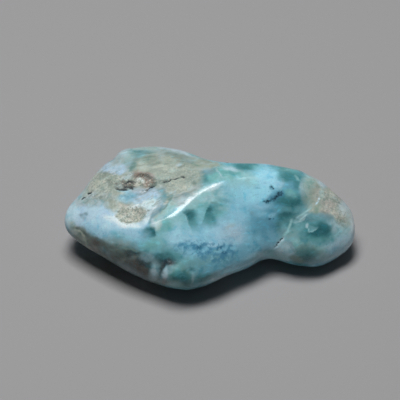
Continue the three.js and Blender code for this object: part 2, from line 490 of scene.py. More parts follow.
SHOULDER = [
    ("sky", 9.6, 5.4, 7, 5, -14, 0.95, 0.35),
    ("blue", 10.2, 0.8, 4.8, 1.8, -4, 0.7, 0.7),
    # the pale green corner over the ridge
    ("aqua", 3.6, 11, 3.4, 1.2, -4, 0.8, 0.5),
    ("jade", 4, 9, 3.8, 1.7, -4, 1, 0.35),
    ("jade", 0.6, 8.1, 2.4, 1.4, 15, 1, 0.4),
    ("slate", -0.6, 9.2, 2, 0.6, 4, 0.8, 0.6),
    ("slate", -2.2, 8.2, 0.8, 0.8, 0, 0.7),
    ("deep_teal", -0.9, 7.8, 0.8, 1.1, 10, 0.8, 0.7),
    ("sea_grey", -2, 6.9, 0.9, 1.2, -20, 0.8, 0.7),
    ("teal", 5.4, 8.8, 1.8, 0.5, -5, 0.5),
    ("mint", 4.4, 10.2, 2, 0.7, -6, 0.9, 0.7),
    ("pale", 4.6, 9.9, 1.2, 0.4, -6, 0.6),
    ("mint", 2.8, 8.1, 1.6, 0.6, 10, 0.7),
    ("mint", 7.6, 8.2, 1.8, 1.3, -30, 0.8, 0.7),
    ("mint", 6, 6.6, 2.2, 1.1, -5),
    ("aqua", 5.4, 4.4, 2, 0.9, 0, 0.5),
    ("white", 4.9, 10.1, 1.5, 0.6, -6),
    *vein("frost", ((1.2, 9.8), (2, 8.8), (3, 7.9)), 0.2, 0.7),
    *vein("frost", ((5.4, 10.4), (7, 9.5), (8.1, 8.4)), 0.18, 0.5),
    ("teal", 8.2, 9.4, 1.2, 0.7, -10, 0.7),
    ("aqua", 6.2, 8, 1.2, 0.6, 0, 0.7),
    ("teal", 8, 10.9, 3.4, 1.3, -2, 1, 0.35),
    ("deep_teal", 7.8, 10.8, 2.2, 0.7, -2, 0.8, 0.6),
    ("jade", 10.4, 10.4, 1.4, 0.9, -10, 0.7),
    # the brightest cloud
    ("glacier", 12, 7.8, 2.9, 3.4, -14, 0.95, 0.5),
    ("glacier", 9.8, 5.2, 3.8, 2.4, -10, 0.8, 0.7),
    ("milk", 12.4, 7.4, 1.6, 1.8, 0, 0.4),
    ("mint", 8.4, 7.4, 1.9, 1.4, -30, 0.7),
    # green and teal beyond it
    ("teal", 17.4, 7.4, 2.8, 3.2, -15, 1, 0.35),
    ("jade", 17, 9.8, 2, 0.8, -18, 0.7, 0.7),
    ("deep_teal", 17, 8.1, 1.4, 1.3, -10, 0.8, 0.7),
    ("mint", 18.8, 7.8, 0.7, 0.22, -50),
    ("lake", 17, 6, 1.5, 0.9, 0, 0.8, 0.6),
    ("milk", 14.9, 6.6, 1, 0.8, -8, 0.8, 0.7),
    ("deep_teal", 18.5, 6.6, 0.6, 0.9, 10, 0.6),
    ("frost", 19.9, 6.2, 0.8, 1.2, 0, 0.7, 0.7),
    ("teal", 17, 1.4, 3.6, 3, 4, 1, 0.4),
    ("deep_teal", 17.2, 2.9, 3, 1.2, -4, 0.98, 0.5),
    ("teal", 18.9, 3.9, 0.6, 1.2, 0, 0.9, 0.7),
    ("dark_teal", 17, 2.8, 2, 0.6, -6, 0.9, 0.7),
    ("teal", 17.2, 1.5, 2.4, 0.45, 0, 0.7, 0.7),
    ("deep_teal", 16.6, -0.1, 2.9, 1.1, 6, 0.98, 0.6),
    ("jade", 17, 4.3, 1.35, 1.15, -20, 0.9, 0.25),
    ("aqua", 17, 4, 0.8, 0.8, 0, 0.7, 0.7),
    ("slate", 20.1, 4.1, 0.5, 1.2, 0, 0.7),
    ("teal", 20.2, 7.9, 0.9, 0.8, -30, 0.6),
    # the slate blue flank
    ("lake", 11.6, -2.6, 3.8, 4.6, -18, 1, 0.45),
    ("lake", 14, 1.2, 1.8, 1.8, 0, 0.8, 0.7),
    ("deep_lake", 12.4, -2, 2.4, 2.6, -20, 0.6),
    ("sea_grey", 15.4, -3.4, 1.5, 1.9, -25, 0.8, 0.7),
    ("blue", 9.6, -6.8, 4.6, 2.2, 30, 0.8, 0.6),
    ("lake", 6.6, -7.6, 2, 1.4, 20, 0.6),
    ("sky", 13.2, -7.8, 2.2, 1.2, 0, 0.6),
    ("blue", 13, -5, 1.6, 1.6, 0, 0.5),
    ("slate", 9.2, 0.3, 0.5, 0.4, 0, 0.4),
    ("frost", 10.5, -9, 4, 1, 20, 0.7, 0.7),
    ("glacier", 7.6, -10, 3.4, 0.8, 26, 0.7),
    ("frost", 13.6, -8.9, 2.4, 0.7, -4, 0.9),
    ("sky", 13, 0, 1, 0.5, 0, 0.7),
    # the dark haze that the dendrites grow in
    ("deep_lake", 13.6, 3.7, 2.2, 0.8, 28, 0.9, 0.6),
    ("midnight", 14.2, 4, 1.2, 0.5, 34),
    ("midnight", 14.9, 3.9, 0.8, 0.9, 0, 0.7),
    ("deep_lake", 15, 2.2, 1.1, 1),
    ("deep_teal", 15, -1.9, 1, 1.1, -20, 0.7),
    ("sky", 11.2, 0.2, 1.2, 0.6, 0, 0.6),
    ("milk", 11, 1.9, 1.3, 0.7, 0, 0.5),
    ("aqua", 13, -8.1, 1.3, 0.7),
    ("teal", 10, -9.4, 1.6, 0.6, 18, 0.4),
    ("lake", 10.3, 5.7, 0.7, 0.2, -15, 0.5, 0.7),
    ("deep_teal", 16.2, 3.3, 1.9, 0.9, 0, 0.7),
    ("deep_lake", 14, 4.8, 0.9, 0.7, 0, 0.5),
    ("lake", 16.1, 5.9, 0.7, 0.6, 0, 0.6),
    ("lake", 13.2, 5.8, 0.5, 0.4, -30, 0.7),
]
ROUND_LOBE = [
    ("sea_grey", 21.6, -3, 6, 6, 0, 1, 0.3),
    ("celadon", 18.4, -3.8, 2.4, 2.4, 20, 0.4, 0.7),
    ("teal", 19, -2, 1.6, 1, 10, 0.5),
    ("sea_grey", 24.6, -6.6, 7.4, 2.2, 8, 0.7, 0.6),
    ("frost", 26, -7.6, 4, 1.2, 14, 0.5),
    ("aqua", 28, -4.6, 3, 3.2, 10, 0.9, 0.5),
    ("frost", 28.6, -3.8, 1.8, 1.6, 10),
    ("aqua", 23, -6.3, 3.8, 0.8, -4, 0.8, 0.7),
    ("sky", 25.6, -7, 2.6, 1, 8, 0.6),
    ("pale", 30.2, -0.8, 1.6, 3.8, 0, 0.95, 0.5),
    ("chalk", 30.1, -1.2, 1, 2.4, 0, 0.9),
    # its matrix
    ("celadon", 21.6, 5.8, 1.8, 3.6, -6, 0.9, 0.45),
    ("khaki", 22.8, 4.4, 1.8, 3.6, -8, 0.9, 0.5),
    ("beige", 26, 3.2, 3.8, 3.1, -42, 1, 0.45),
    ("khaki", 28.2, 0.2, 2.2, 2, -42, 0.9, 0.45),
    ("haze", 26.4, 3, 3.4, 2.6, -42, 0.3, 0.6),
    ("rose", 27.2, 0.2, 1.2, 0.7, -42, 0.4),
    ("haze", 28.6, 0.6, 1.6, 1, -50, 0.6),
    ("cream", 28.1, 0.1, 1, 0.5, -45, 0.6),
    ("stone", 27, 3.2, 1, 0.5, -30, 0.3),
    ("moss", 20.6, 3.2, 0.9, 0.9, 0, 0.6),
    ("moss", 22.1, 1, 1.4, 0.7, 0, 0.9),
    ("khaki", 23, 1.4, 2, 1, 8, 0.9, 0.5),
    ("celadon", 24, 4.6, 0.4, 1.6, 0, 0.8, 0.7),
    ("pale", 24, 6.7, 1.4, 0.8, -35, 0.9, 0.6),
    ("sand", 25.6, 4.6, 1.3, 0.7, -30, 0.9, 0.7),
    ("sand", 27.2, 1.4, 1.2, 0.6, -40, 0.7),
    ("rose", 25.6, 2.4, 1.7, 0.9, -20, 0.6, 0.7),
    ("rose", 24.6, 1, 0.9, 0.6, 0, 0.5),
    ("lichen", 26.4, 3.1, 0.9, 0.4, -25, 0.7),
    ("lichen", 25.2, 4, 0.4, 0.5, 0, 0.6),
    ("lichen", 27.6, 1.6, 0.5, 0.4, -40, 0.6),
    ("olive", 24.4, 0.6, 0.6, 0.3, -20, 0.5),
    ("cream", 26.4, 0.4, 0.8, 0.4, -30, 0.7),
    ("celadon", 21.2, 6.2, 0.9, 1.3, 0, 0.7),
    ("lichen", 24.4, 2.8, 0.5, 0.8, 0, 0.5),
    ("pale", 28.9, 1.6, 1.1, 1.4, -40, 0.8, 0.7),
    ("lichen", 25.4, -0.5, 1.3, 0.4, -32, 0.8, 0.7),
    ("lichen", 28, -2.1, 1.4, 0.35, -20, 0.9, 0.7),
    ("sand", 29.4, -2, 0.7, 0.5, 0, 0.7),
    ("frost", 25.8, -1.6, 2.2, 0.8, -28, 0.9, 0.7),
    ("chalk", 26.8, -2.1, 1.6, 0.5, -24, 0.6),
    ("mint", 28.2, -4, 1.8, 1.4, 40, 0.6),
    ("mint", 23.8, -7.4, 2.8, 0.9, 10, 0.9),
    ("milk", 28.2, -6.4, 2.6, 1.5, 28, 0.9),
    ("white", 29, -6.4, 1.8, 1.9, -25, 0.9),
    ("mint", 22, -7, 2, 0.6, -4),
    ("white", 28.6, -7.8, 1.8, 0.9, 30, 0.9),
    ("frost", 27.4, -8.4, 2.4, 0.7, 24, 0.7),
    ("white", 26.4, -6.6, 1.8, 0.8, 12, 0.6),
    ("white", 24.4, -8.9, 1.8, 0.7, 10, 0.7),
    ("mint", 18.2, -6.2, 1.2, 0.9),
    ("mint", 22.6, -7, 1.2, 0.6, 0, 0.7),
    *vein("white", ((22.6, 2.2), (23, 2.6)), 0.22, 0.9, 0.5),
    *vein("white", ((23.3, 2.9), (23.5, 3.5)), 0.18, 0.9, 0.5),
    # its dark eye and the pale shard over it
    ("slate", 23.8, -0.6, 2.2, 0.8, -6, 0.9, 0.6),
    ("sea_grey", 20.8, -0.9, 2.4, 0.9, 0, 0.9, 0.7),
    ("deep_teal", 21.2, -1.3, 2.3, 0.6, -4),
    ("teal", 22.6, -3.3, 4.2, 2.6, 2, 0.9, 0.5),
    ("deep_teal", 22.2, -4.7, 2, 0.7, 2, 0.7),
    ("jade", 23.4, -5, 2.4, 0.5, 2, 0.6),
    ("deep_teal", 23, -3.3, 2.9, 1.6, 0, 1, 0.45),
    ("dark_teal", 24.1, -2.9, 1.4, 1.2, -12, 0.8, 0.7),
    ("dark_teal", 22.6, -3.7, 1.8, 0.7, 6, 1, 0.7),
    ("sea_grey", 22, -2.7, 1.1, 0.45, 4, 0.9, 0.4),
    *vein("mint", ((20.7, -2.5), (21.1, -3.4), (22.3, -3.1), (23, -2.9)), 0.14),
    ("frost", 20.6, -2.3, 0.5, 0.26, 35, 0.8, 0.6),
    ("frost", 26.6, -2.9, 0.8, 0.7, 0, 0.6),
    # its dark foot
    ("moss", 20.6, -8.2, 3, 1.8, -6, 0.9, 0.6),
    ("deep_teal", 20.6, -8.5, 2.4, 1.4, 0, 0.9),
    ("lichen", 18.6, -9.4, 1.2, 0.4, -8, 0.6),
    ("deep_teal", 18.4, -10.2, 2.4, 0.6, -8, 0.9, 0.7),
    ("slate", 23.6, -9.6, 3, 1.1, 8, 0.5, 0.7),
    ("mint", 24.2, -8.9, 1.8, 0.6, 8, 0.7),
    ("sky", 26.8, -7.3, 1.6, 0.8, 25, 0.7),
    ("dark_teal", 20.2, -9.3, 1.4, 0.6, 0, 0.4),
    ("cream", 26.2, 5, 1.2, 0.6, -35, 0.5),
    ("cream", 28.8, 1, 0.9, 0.7, -50, 0.4),
]
KEEL = [
    ("sea_grey", -2, -12.6, 8.8, 4, 8, 1, 0.3),
    ("lake", 4.2, -11.2, 3.4, 1.2, 16, 0.5, 0.7),
    ("blue", 4.6, -11.2, 3.6, 1, 20, 0.5),
    ("sea_grey", -8.8, -7.8, 3.4, 1.4, -8, 0.8, 0.6),
    ("lake", 2.4, -10.8, 4.6, 1.5, 12, 0.7, 0.7),
    ("deep_teal", -2, -15.9, 5.6, 1, 3, 0.6),
    ("frost", 3.2, -12.8, 4.2, 1.3, 22, 0.9, 0.6),
    ("glacier", 4.4, -11.7, 2.6, 1.2, 24),
    ("pale", 3.2, -13.4, 1.8, 0.6, 20),
    ("moss", -6, -12.8, 2.4, 1.8, -10, 0.9, 0.6),
    ("deep_teal", -6, -13.2, 2.3, 1.7, 0, 0.95, 0.6),
    ("dark_teal", -5.8, -13.5, 1.6, 1.1, 0, 0.7),
    ("deep_teal", -2, -13.9, 1.8, 0.8, 4, 0.7),
    ("deep_teal", -0.6, -12.9, 1.6, 0.8, 6, 0.8, 0.7),
    ("teal", -7.6, -8.2, 1.8, 0.8, -16, 0.8, 0.7),
    ("jade", -5.6, -9.6, 1.8, 0.6, 10, 0.4),
    # From here the dark teal and ink in the crevice over the boss are painted shade in the crevice.
    ("deep_teal", -9.2, -9.3, 2.8, 1.3, -10, 0.9, 0.6),
    ("slate", -11.4, -9.4, 1, 1, 0, 0.8, 0.6),
    ("dark_teal", -11.3, -8.6, 0.9, 0.35, -25, 0.8, 0.7),
    ("dark_teal", -10.6, -8.2, 0.8, 0.35, -10, 0.6),
    ("dark_teal", -9.2, -9.6, 2, 1, -10, 0.9),
    ("slate", -11.6, -9.6, 0.8, 0.5, 10, 0.7),
    ("jade", -7.6, -11.4, 1.9, 1, 30, 0.7),
    ("deep_teal", -6.6, -12.2, 1.3, 0.6, 0, 0.5),
    ("frost", -8, -11.3, 1.2, 0.6, 35, 0.6),
    ("slate", -8.8, -11.1, 0.6, 0.6, -16, 0.7),
    # this pale and the white below are partly the boss's pale stone and partly a painted highlight
    # on its rounded left rim
    ("pale", -9.3, -12.5, 0.6, 0.9, -16, 0.95, 0.6),
    # painted shadow: a dark line in the gap down the boss's left side
    ("dark_teal", -10.4, -11.8, 0.4, 2, -4),
    ("dark_teal", -11.2, -9.4, 1.1, 0.6, 10, 0.7),
    ("white", -9.3, -12.3, 0.6, 0.9, -16, 0.9),
    # painted shade: ink darkens the crevice over the boss
    ("ink", -8.9, -9.9, 1.6, 0.75, -4, 0.95, 0.6),
    ("ink", -9.8, -10.8, 0.5, 1.5, -20, 0.95, 0.6),
    ("dark_teal", -3.6, -11.3, 0.65, 0.32, -20, 0.7),
    *vein("frost", ((-3.4, -11.8), (-3.4, -12.9), (-3.6, -14)), 0.22, 0.3, 0.9),
    ("haze", -8.6, -14.4, 1, 0.6, 0, 0.4),
    ("moss", -7.2, -14.3, 1.2, 0.6, 0, 0.6),
    ("mint", -7, -14.6, 1.3, 0.6, 0, 0.5),
    ("teal", 0.8, -13.3, 1.8, 0.7, 14, 0.5),
]
UNDER_THE_NOSE = [
    ("sea_grey", -19, -6.2, 6, 1.4, -14, 0.8, 0.6),
    ("milk", -23.4, -3.9, 2.4, 0.8, -18, 0.8, 0.7),
    ("moss", -19.8, -6.6, 3.6, 0.9, -12, 0.7, 0.6),
    ("haze", -19.2, -5.8, 3.2, 0.7, -8, 0.5),
    ("stone", -20.5, -9.9, 12, 3.3, -27, 1, 0.22),
    ("moss", -19.4, -7.6, 2.8, 0.9, -18, 0.6),
    ("lichen", -26.6, -4.9, 3, 1.6, -36, 0.8, 0.5),
    ("slate", -29.4, -3.4, 1.2, 0.9, -40, 0.6, 0.7),
    ("olive", -16, -9.8, 5.2, 2.6, -20, 0.9, 0.5),
    ("olive", -23.2, -6, 2.2, 0.8, -20, 0.7, 0.7),
    ("umber", -24.4, -5.7, 1.1, 1, -20, 0.7, 0.7),
    ("umber", -15.4, -10.8, 2.4, 1.6, -20, 0.7),
    ("slate", -22, -7.6, 1.2, 0.5, -30, 0.5),
    ("olive", -21.2, -7, 0.8, 0.5, 0, 0.7),
    ("ink", -15.6, -7.6, 0.9, 0.4, -8, 0.7, 0.7),
    ("ink", -16.8, -8.6, 0.9, 0.5, -12, 0.6),
    ("ink", -14.6, -9.4, 0.8, 0.5, 0, 0.5),
    ("stone", -15.9, -9, 0.5, 0.5, 0, 0.9),
    ("lichen", -18.6, -9.8, 0.9, 0.4, 30, 0.5),
    ("olive", -28.4, -2.8, 0.9, 0.35, -8, 0.9, 0.7),
    ("sand", -29.2, -2, 1, 0.6, -40, 0.7),
    ("beige", -29, -3.4, 1, 0.6, -40, 0.6),
    ("beige", -17, -12, 1.8, 0.7, -27, 0.4),
    ("rose", -25, -7, 1.3, 0.6, -27, 0.4),
    ("lichen", -27, -3.1, 1, 0.4, -30, 0.9, 0.7),
    ("olive", -26.6, -4.1, 1.4, 0.5, -28, 0.9, 0.7),
    ("slate", -13.3, -8.8, 1.2, 0.9, -10, 0.9, 0.7),
    ("umber", -13.9, -12, 1.3, 0.8, -20, 0.5),
    ("ink", -13.4, -10.2, 1.3, 0.6, -12, 0.7),
    ("ink", -16.8, -7.8, 1.3, 0.5, -10, 0.5),
    ("slate", -11.6, -11.6, 1, 2, -8, 0.9, 0.6),
    ("frost", -11.7, -11.9, 0.8, 1.7, -8, 0.7, 0.7),
    ("chalk", -13.4, -13.9, 2.2, 0.9, -20),
    ("dark_teal", -12.9, -10.6, 0.7, 0.4, 0, 0.6),
    ("slate", -17, -13.6, 4, 0.8, -27, 0.5),
    ("rust", -9.6, -13.8, 0.7, 0.6, 0, 0.5),
    *vein("sand", ((-28.4, -3.2), (-27.3, -3.8), (-26.7, -4.6)), 0.2, 0.8, 0.7),
    *vein("khaki", ((-27, -4.8), (-26.3, -5.8), (-25.6, -7)), 0.26, 0.7, 0.7),
    *vein("moss", ((-18.4, -6.9), (-16.6, -7.1), (-15, -7.4)), 0.22, 0.7, 0.7),
]
BROW = [
    # the pale green rim behind
    ("celadon", -14, 14, 8, 2.2, -3, 0.8, 0.35),
    ("haze", -8, 13.2, 5, 1.4, -14, 0.8, 0.5),
    ("pale", -18.8, 13, 1.7, 1.4, 35, 1, 0.5),
    ("sea_grey", -14.8, 12.9, 4, 1.1, -4, 0.9, 0.4),
    ("moss", -13.6, 12.4, 2.8, 1.2, -8, 0.9, 0.5),
    ("sea_grey", -14, 12.6, 1.6, 0.8, -8, 0.9),
    ("celadon", -14, 14.6, 5.4, 0.6, 0, 0.8, 0.6),
    ("slate", -16.6, 11.7, 2.2, 0.9, -6, 0.6, 0.6),
    ("celadon", -18, 12.2, 2, 1.4, 20, 0.7, 0.6),
    ("pale", -18.4, 12.9, 1.4, 0.9, 30, 0.6, 0.6),
    ("lichen", -18.6, 11.4, 1.2, 0.4, 14, 0.5),
    # the khaki matrix that runs across the brow
    ("khaki", -23, 6.4, 5.2, 3.4, 42, 1, 0.22),
    ("haze", -24.6, 4.6, 2.4, 1, 30, 0.9, 0.6),
    ("sand", -23.4, 5.4, 2.4, 0.6, 24, 0.8, 0.7),
    ("khaki", -20.8, 3.4, 1.9, 2.9, 28, 1, 0.22),
    ("khaki", -16.6, 7.8, 4.2, 2.2, 8, 1, 0.3),
    ("khaki", -10.4, 10.6, 5.4, 2.6, -6, 1, 0.25),
    ("khaki", -6.2, 8.2, 4.6, 4, 10, 1, 0.22),
    ("khaki", -6, 5.5, 2.9, 1.3, 8, 1, 0.3),
    ("khaki", -1.6, 10.9, 4, 1.1, 2, 1, 0.35),
    ("pale", -25.4, 7.4, 0.9, 3.2, -27, 0.7, 0.7),
    ("haze", -22.4, 5.4, 2.6, 0.8, 12, 0.8, 0.7),
    ("haze", -21, 3.9, 1.8, 0.6, 0, 0.7, 0.7),
    ("haze", -23.8, 4.2, 3, 0.9, 10, 0.8, 0.6),
    ("sand", -22.6, 5, 2, 0.7, 8, 0.6, 0.7),
    ("sand", -25.2, 5.4, 1.1, 1.9, -35, 0.9, 0.7),
    ("pale", -25.4, 4.2, 1.4, 0.7, 20),
    *vein("moss", ((-27.2, 2.6), (-25.4, 3.3), (-23.4, 3.3), (-21.6, 2.4)), 0.2, 0.5, 0.7),
    ("sand", -23.8, 8.2, 1.6, 2.2, 40, 0.7),
    ("pale", -23, 9.9, 1, 0.7, 40),
    ("sand", -21, 5.9, 1.4, 0.8, 10),
    ("lichen", -21.3, 7, 0.7, 0.7, 0, 0.9),
    ("lichen", -22.2, 8.8, 1.4, 0.5, 10, 0.7),
    ("lichen", -23.2, 7.9, 0.8, 0.3, 30, 0.6),
    ("cream", -23.7, 7, 0.35, 0.35, 0, 0.6),
    ("cream", -22.5, 7.1, 0.35, 0.35, 0, 0.6),
    ("pale", -23.4, 2.7, 1.9, 0.6, -10),
    ("haze", -17.6, 9.6, 1.4, 1, 30, 0.8, 0.6),
    ("moss", -16.2, 10.5, 0.5, 1.4, -28, 0.9, 0.6),
    ("celadon", -14.2, 11.3, 0.7, 0.7, 20, 0.8, 0.6),
    ("sand", -14.6, 10.2, 1.4, 0.8, 10, 0.8, 0.7),
    ("pale", -16.6, 8.5, 0.8, 0.35, 20, 0.6, 0.7),
    # its flow: pale and dark streaks
    *vein("lichen", ((-12.6, 10.7), (-11, 10.9), (-9.6, 10.8), (-8.4, 10.2)), 0.2, 0.9, 0.7),
    *vein("lichen", ((-8.4, 10.1), (-8.8, 9.2), (-10.2, 8.9)), 0.14, 0.5, 0.7),
    ("sand", -10.4, 10.1, 2, 0.75, 0, 1, 0.3),
    ("celadon", -9.6, 8, 1.6, 0.5, 8, 0.6, 0.7),
    ("haze", -10.5, 12.7, 1.1, 1, 0, 0.7, 0.7),
    ("sand", -8, 11.9, 1.8, 0.5, -10, 0.8, 0.7),
    ("sand", -5.8, 5.9, 2, 0.9, 10, 0.9, 0.6),
    ("sand", -6.8, 6.9, 2, 0.6, 14, 0.8, 0.7),
    ("pale", -6.5, 10.8, 0.7, 0.4, 20, 0.8, 0.6),
    ("sand", -7.5, 9.9, 1, 0.35, 25, 0.8, 0.7),
    *vein("lichen", ((-7.3, 9.9), (-6.5, 10.2), (-5.6, 10.7)), 0.18, 0.9),
    *vein("lichen", ((-8.6, 8.6), (-7.2, 9.1), (-5.4, 9.3), (-3.8, 9)), 0.16, 0.5, 0.7),
    ("cream", -5.2, 6.2, 0.4, 0.35, 0, 0.8, 0.7),
    ("frost", -7.4, 4.6, 0.5, 0.4, 60, 0.8, 0.7),
    ("frost", -8.2, 4.7, 0.4, 0.3, 20, 0.6, 0.7),
    ("celadon", -3.6, 7.4, 1, 1.5, -15, 0.6, 0.7),
    ("lichen", -7.4, 12.8, 2.6, 0.5, -12, 0.7, 0.6),
    ("slate", -4.2, 11.8, 1.6, 0.6, -8, 0.8, 0.7),
    ("haze", -1, 11.2, 0.9, 0.3, 0, 0.7, 0.7),
    ("haze", -1, 9.9, 2.4, 0.25, 0, 0.7, 0.7),
    ("lichen", -10.5, 7.2, 1.8, 0.7, 6, 0.9, 0.5),
    ("olive", -9.4, 7.3, 0.8, 0.4, 0, 0.7),
    ("lichen", -3.1, 6.3, 0.4, 0.9, 10, 0.9, 0.7),
    *vein("lichen", ((-7.6, 4.2), (-5.6, 4.2)), 0.22, 0.7, 0.7),
    *vein(
        "pale",
        ((-11, 14.9), (-8.6, 14.4), (-6.6, 13.7), (-4.8, 13), (-2.6, 12.2)),
        0.34,
        0.95,
        0.7,
    ),
    # the lilac patch
    ("lilac", -21.4, 10.1, 1.5, 1.2, 10, 1, 0.22),
    ("lilac", -19.6, 9.8, 1.9, 1.2, 8, 1, 0.22),
    ("pearl", -20.6, 10, 2, 0.8, 8, 0.8, 0.7),
    ("pearl", -19, 9.8, 1.1, 0.8, 10),
    ("haze", -19.9, 11.4, 1.3, 0.6, 25, 0.9),
    # the brown vug and its pale heart
    ("rust", -14, 8.2, 2.3, 1.2, -18, 1, 0.35),
    ("rust", -12.5, 7.2, 1, 1.5, 25, 1, 0.4),
    ("rust", -13, 6, 1.4, 0.5, 10, 0.6),
    ("moss", -10.8, 6.4, 1.2, 1),
    ("sand", -11.2, 10, 1.2, 0.7, 0, 0.6),
    ("lichen", -4.6, 7.8, 2.4, 1.4, 0, 0.5),
    ("lichen", -9, 6, 1, 0.6, 0, 0.5),
    ("khaki", -3, 11.9, 2.8, 0.6, -8),
    ("lichen", -7, 12.1, 1.4, 0.6, -8, 0.5),
    ("rust", -14.6, 6.8, 2.4, 0.6, 4, 0.5, 0.6),
    ("rust", -13, 7.5, 1.2, 1.2, 25, 0.7, 0.6),
    ("umber", -13.8, 8.7, 1, 0.42, -20, 0.8, 0.7),
    ("umber", -15, 8.3, 0.7, 0.3, 20, 0.9, 0.7),
    ("umber", -12.3, 6.5, 0.7, 0.4, 20, 0.9, 0.7),
    ("umber", -12.9, 7.8, 0.4, 0.5, 0, 0.7),
    ("pale", -17.8, 7.9, 1.2, 0.4, 0, 0.6, 0.7),
    ("lichen", -18.2, 6.3, 2.2, 0.9, 4, 0.8, 0.6),
    ("umber", -16.6, 6.7, 1.3, 0.62, 12, 0.95, 0.5),
    ("umber", -17.2, 6.1, 1.7, 0.5, 5, 0.8, 0.7),
    ("umber", -16, 6.2, 0.8, 0.5, 10, 0.9, 0.7),
    ("umber", -12.1, 6.2, 0.8, 0.35, 20, 0.9, 0.7),
    ("umber", -19, 5.8, 1.2, 0.3, 0, 0.4),
    ("umber", -18.2, 6.9, 0.5, 0.45, 0, 0.9, 0.6),
    ("umber", -19.6, 6.7, 0.5, 0.34, 0, 0.9, 0.6),
    ("rust", -16.9, 6.5, 0.7, 0.3, 0, 0.6, 0.7),
    ("haze", -18.9, 6.3, 0.5, 0.5, 0, 0.9, 0.6),
    ("rose", -12.2, 8.2, 0.8, 0.6, -30, 0.6),
    ("cream", -14.6, 7.5, 1.1, 0.6, -22, 1, 0.3),
    ("chalk", -14.6, 7.5, 0.8, 0.4, -22, 0.6, 0.7),
    ("rust", -13, 7.3, 0.7, 0.9, 20, 0.8, 0.7),
    ("cream", -15.1, 6.5, 0.7, 0.6, 20, 0.9, 0.5),
    # the sky patch under the vug
    ("lilac", -13.6, 5, 3.2, 0.8, 6, 0.9, 0.5),
    ("blue", -16.6, 3.9, 2.6, 1, 5, 0.9, 0.3),
    ("pearl", -12.9, 3.8, 2.8, 1.1, 6, 0.95, 0.4),
    ("pearl", -14.6, 3.3, 2, 0.6, 5),
    ("lilac", -12.8, 5.1, 2.2, 0.5, 6),
    ("slate", -12.6, 5.5, 1.8, 0.3, 6, 0.6),
    ("khaki", -19.2, 4.6, 1, 0.5, 10, 0.9, 0.6),
    ("lake", -17.8, 3.7, 1, 0.6, 30, 0.5),
    ("lake", -15.6, 4.3, 0.3, 0.5, 0, 0.4),
    ("slate", -10.2, 5.4, 0.9, 0.7, 0, 0.9, 0.7),
    ("sea_grey", -9.9, 4.4, 0.6, 1, 0, 0.8, 0.7),
    ("haze", -10.6, 6.1, 0.9, 0.4, 10, 0.7, 0.7),
    ("khaki", -11, 6.1, 0.9, 0.6, 0, 0.6),
    ("olive", -17, 6.2, 1.1, 0.3, 5, 0.5),
    ("moss", -13.2, 12, 1.5, 0.6, -4, 0.5),
    ("cream", -25, 6, 1, 0.9, 40, 0.5),
    ("cream", -25, 8, 1.2, 0.8, 42, 0.4),
    ("haze", -20, 11, 1.6, 1, 40, 0.5),
]
RIDGE_AND_TROUGH = [
    ("haze", -6, 3.2, 2.6, 1.3, 22, 1, 0.35),
    ("frost", -4.6, 3.6, 2, 0.6, 24),
    ("haze", -3.2, 5.3, 1.8, 0.8, 32, 0.9, 0.5),
    ("slate", -5.2, 4.3, 0.9, 0.3, 15, 0.6),
    ("mint", -8.8, 1.1, 2.2, 0.8, 38, 1, 0.4),
    ("celadon", -9.9, 0.6, 1.2, 0.5, 40, 0.9, 0.6),
    ("celadon", -11.2, -1.5, 1.15, 1.7, 10, 1, 0.22),
    ("mint", -11, -1.9, 0.8, 0.9, 0, 0.6),
    ("chalk", -11, -1.9, 0.7, 0.8, 0, 0.5),
    ("slate", -10.6, 1, 0.5, 1, -40, 0.9),
    ("pale", -11.8, -1.3, 0.45, 1.1, 10, 0.9, 0.7),
    ("frost", -10.4, -0.7, 1, 0.5, 30, 0.7, 0.7),
    ("slate", -10.8, 1.8, 0.85, 2.6, -35, 0.95, 0.35),
    ("pale", -10.9, 2.1, 0.8, 2.4, -35, 0.7, 0.5),
    ("pale", -10.4, 3.6, 0.7, 1.1, -20, 0.7, 0.7),
    ("slate", -12.2, -0.6, 0.5, 1.2, -20, 0.6, 0.6),
    ("sea_grey", -9.4, 3.9, 0.8, 1, -10, 0.8, 0.6),
    ("moss", -8.4, 3.4, 0.55, 0.7, -10, 0.9, 0.6),
    *vein("moss", ((-7.9, 4.3), (-8.5, 2.8), (-9.7, 1.2)), 0.2, 0.9),
    *vein("mint", ((-8.6, 1.9), (-9.8, 0.3), (-11, -0.9)), 0.2, 0.7, 0.7),
    ("cream", -9.1, 2.6, 0.6, 0.3, 20, 0.7, 0.6),
    ("celadon", -7.8, 2.5, 0.5, 0.7, -30, 0.9, 0.6),
    # the dark spot beside the end of the ridge
    ("blue", -13.4, -3.7, 1.6, 1.2, 0, 0.8, 0.7),
    ("deep_teal", -12.3, -3.5, 1.5, 1, -6, 1, 0.7, ((5, 0.65, 0.06),)),
    ("deep_teal", -12.9, -3.7, 1.4, 0.8, -6, 0.7),
    ("dark_teal", -11.8, -3.5, 0.9, 0.7, -6, 0.9, 0.8, ((5, 0.6, 0.1),)),
    ("deep_teal", -13, -4, 1.1, 0.6, -10, 0.6),
    ("jade", -12.6, -6.2, 1.7, 1.1, 10, 0.7),
]
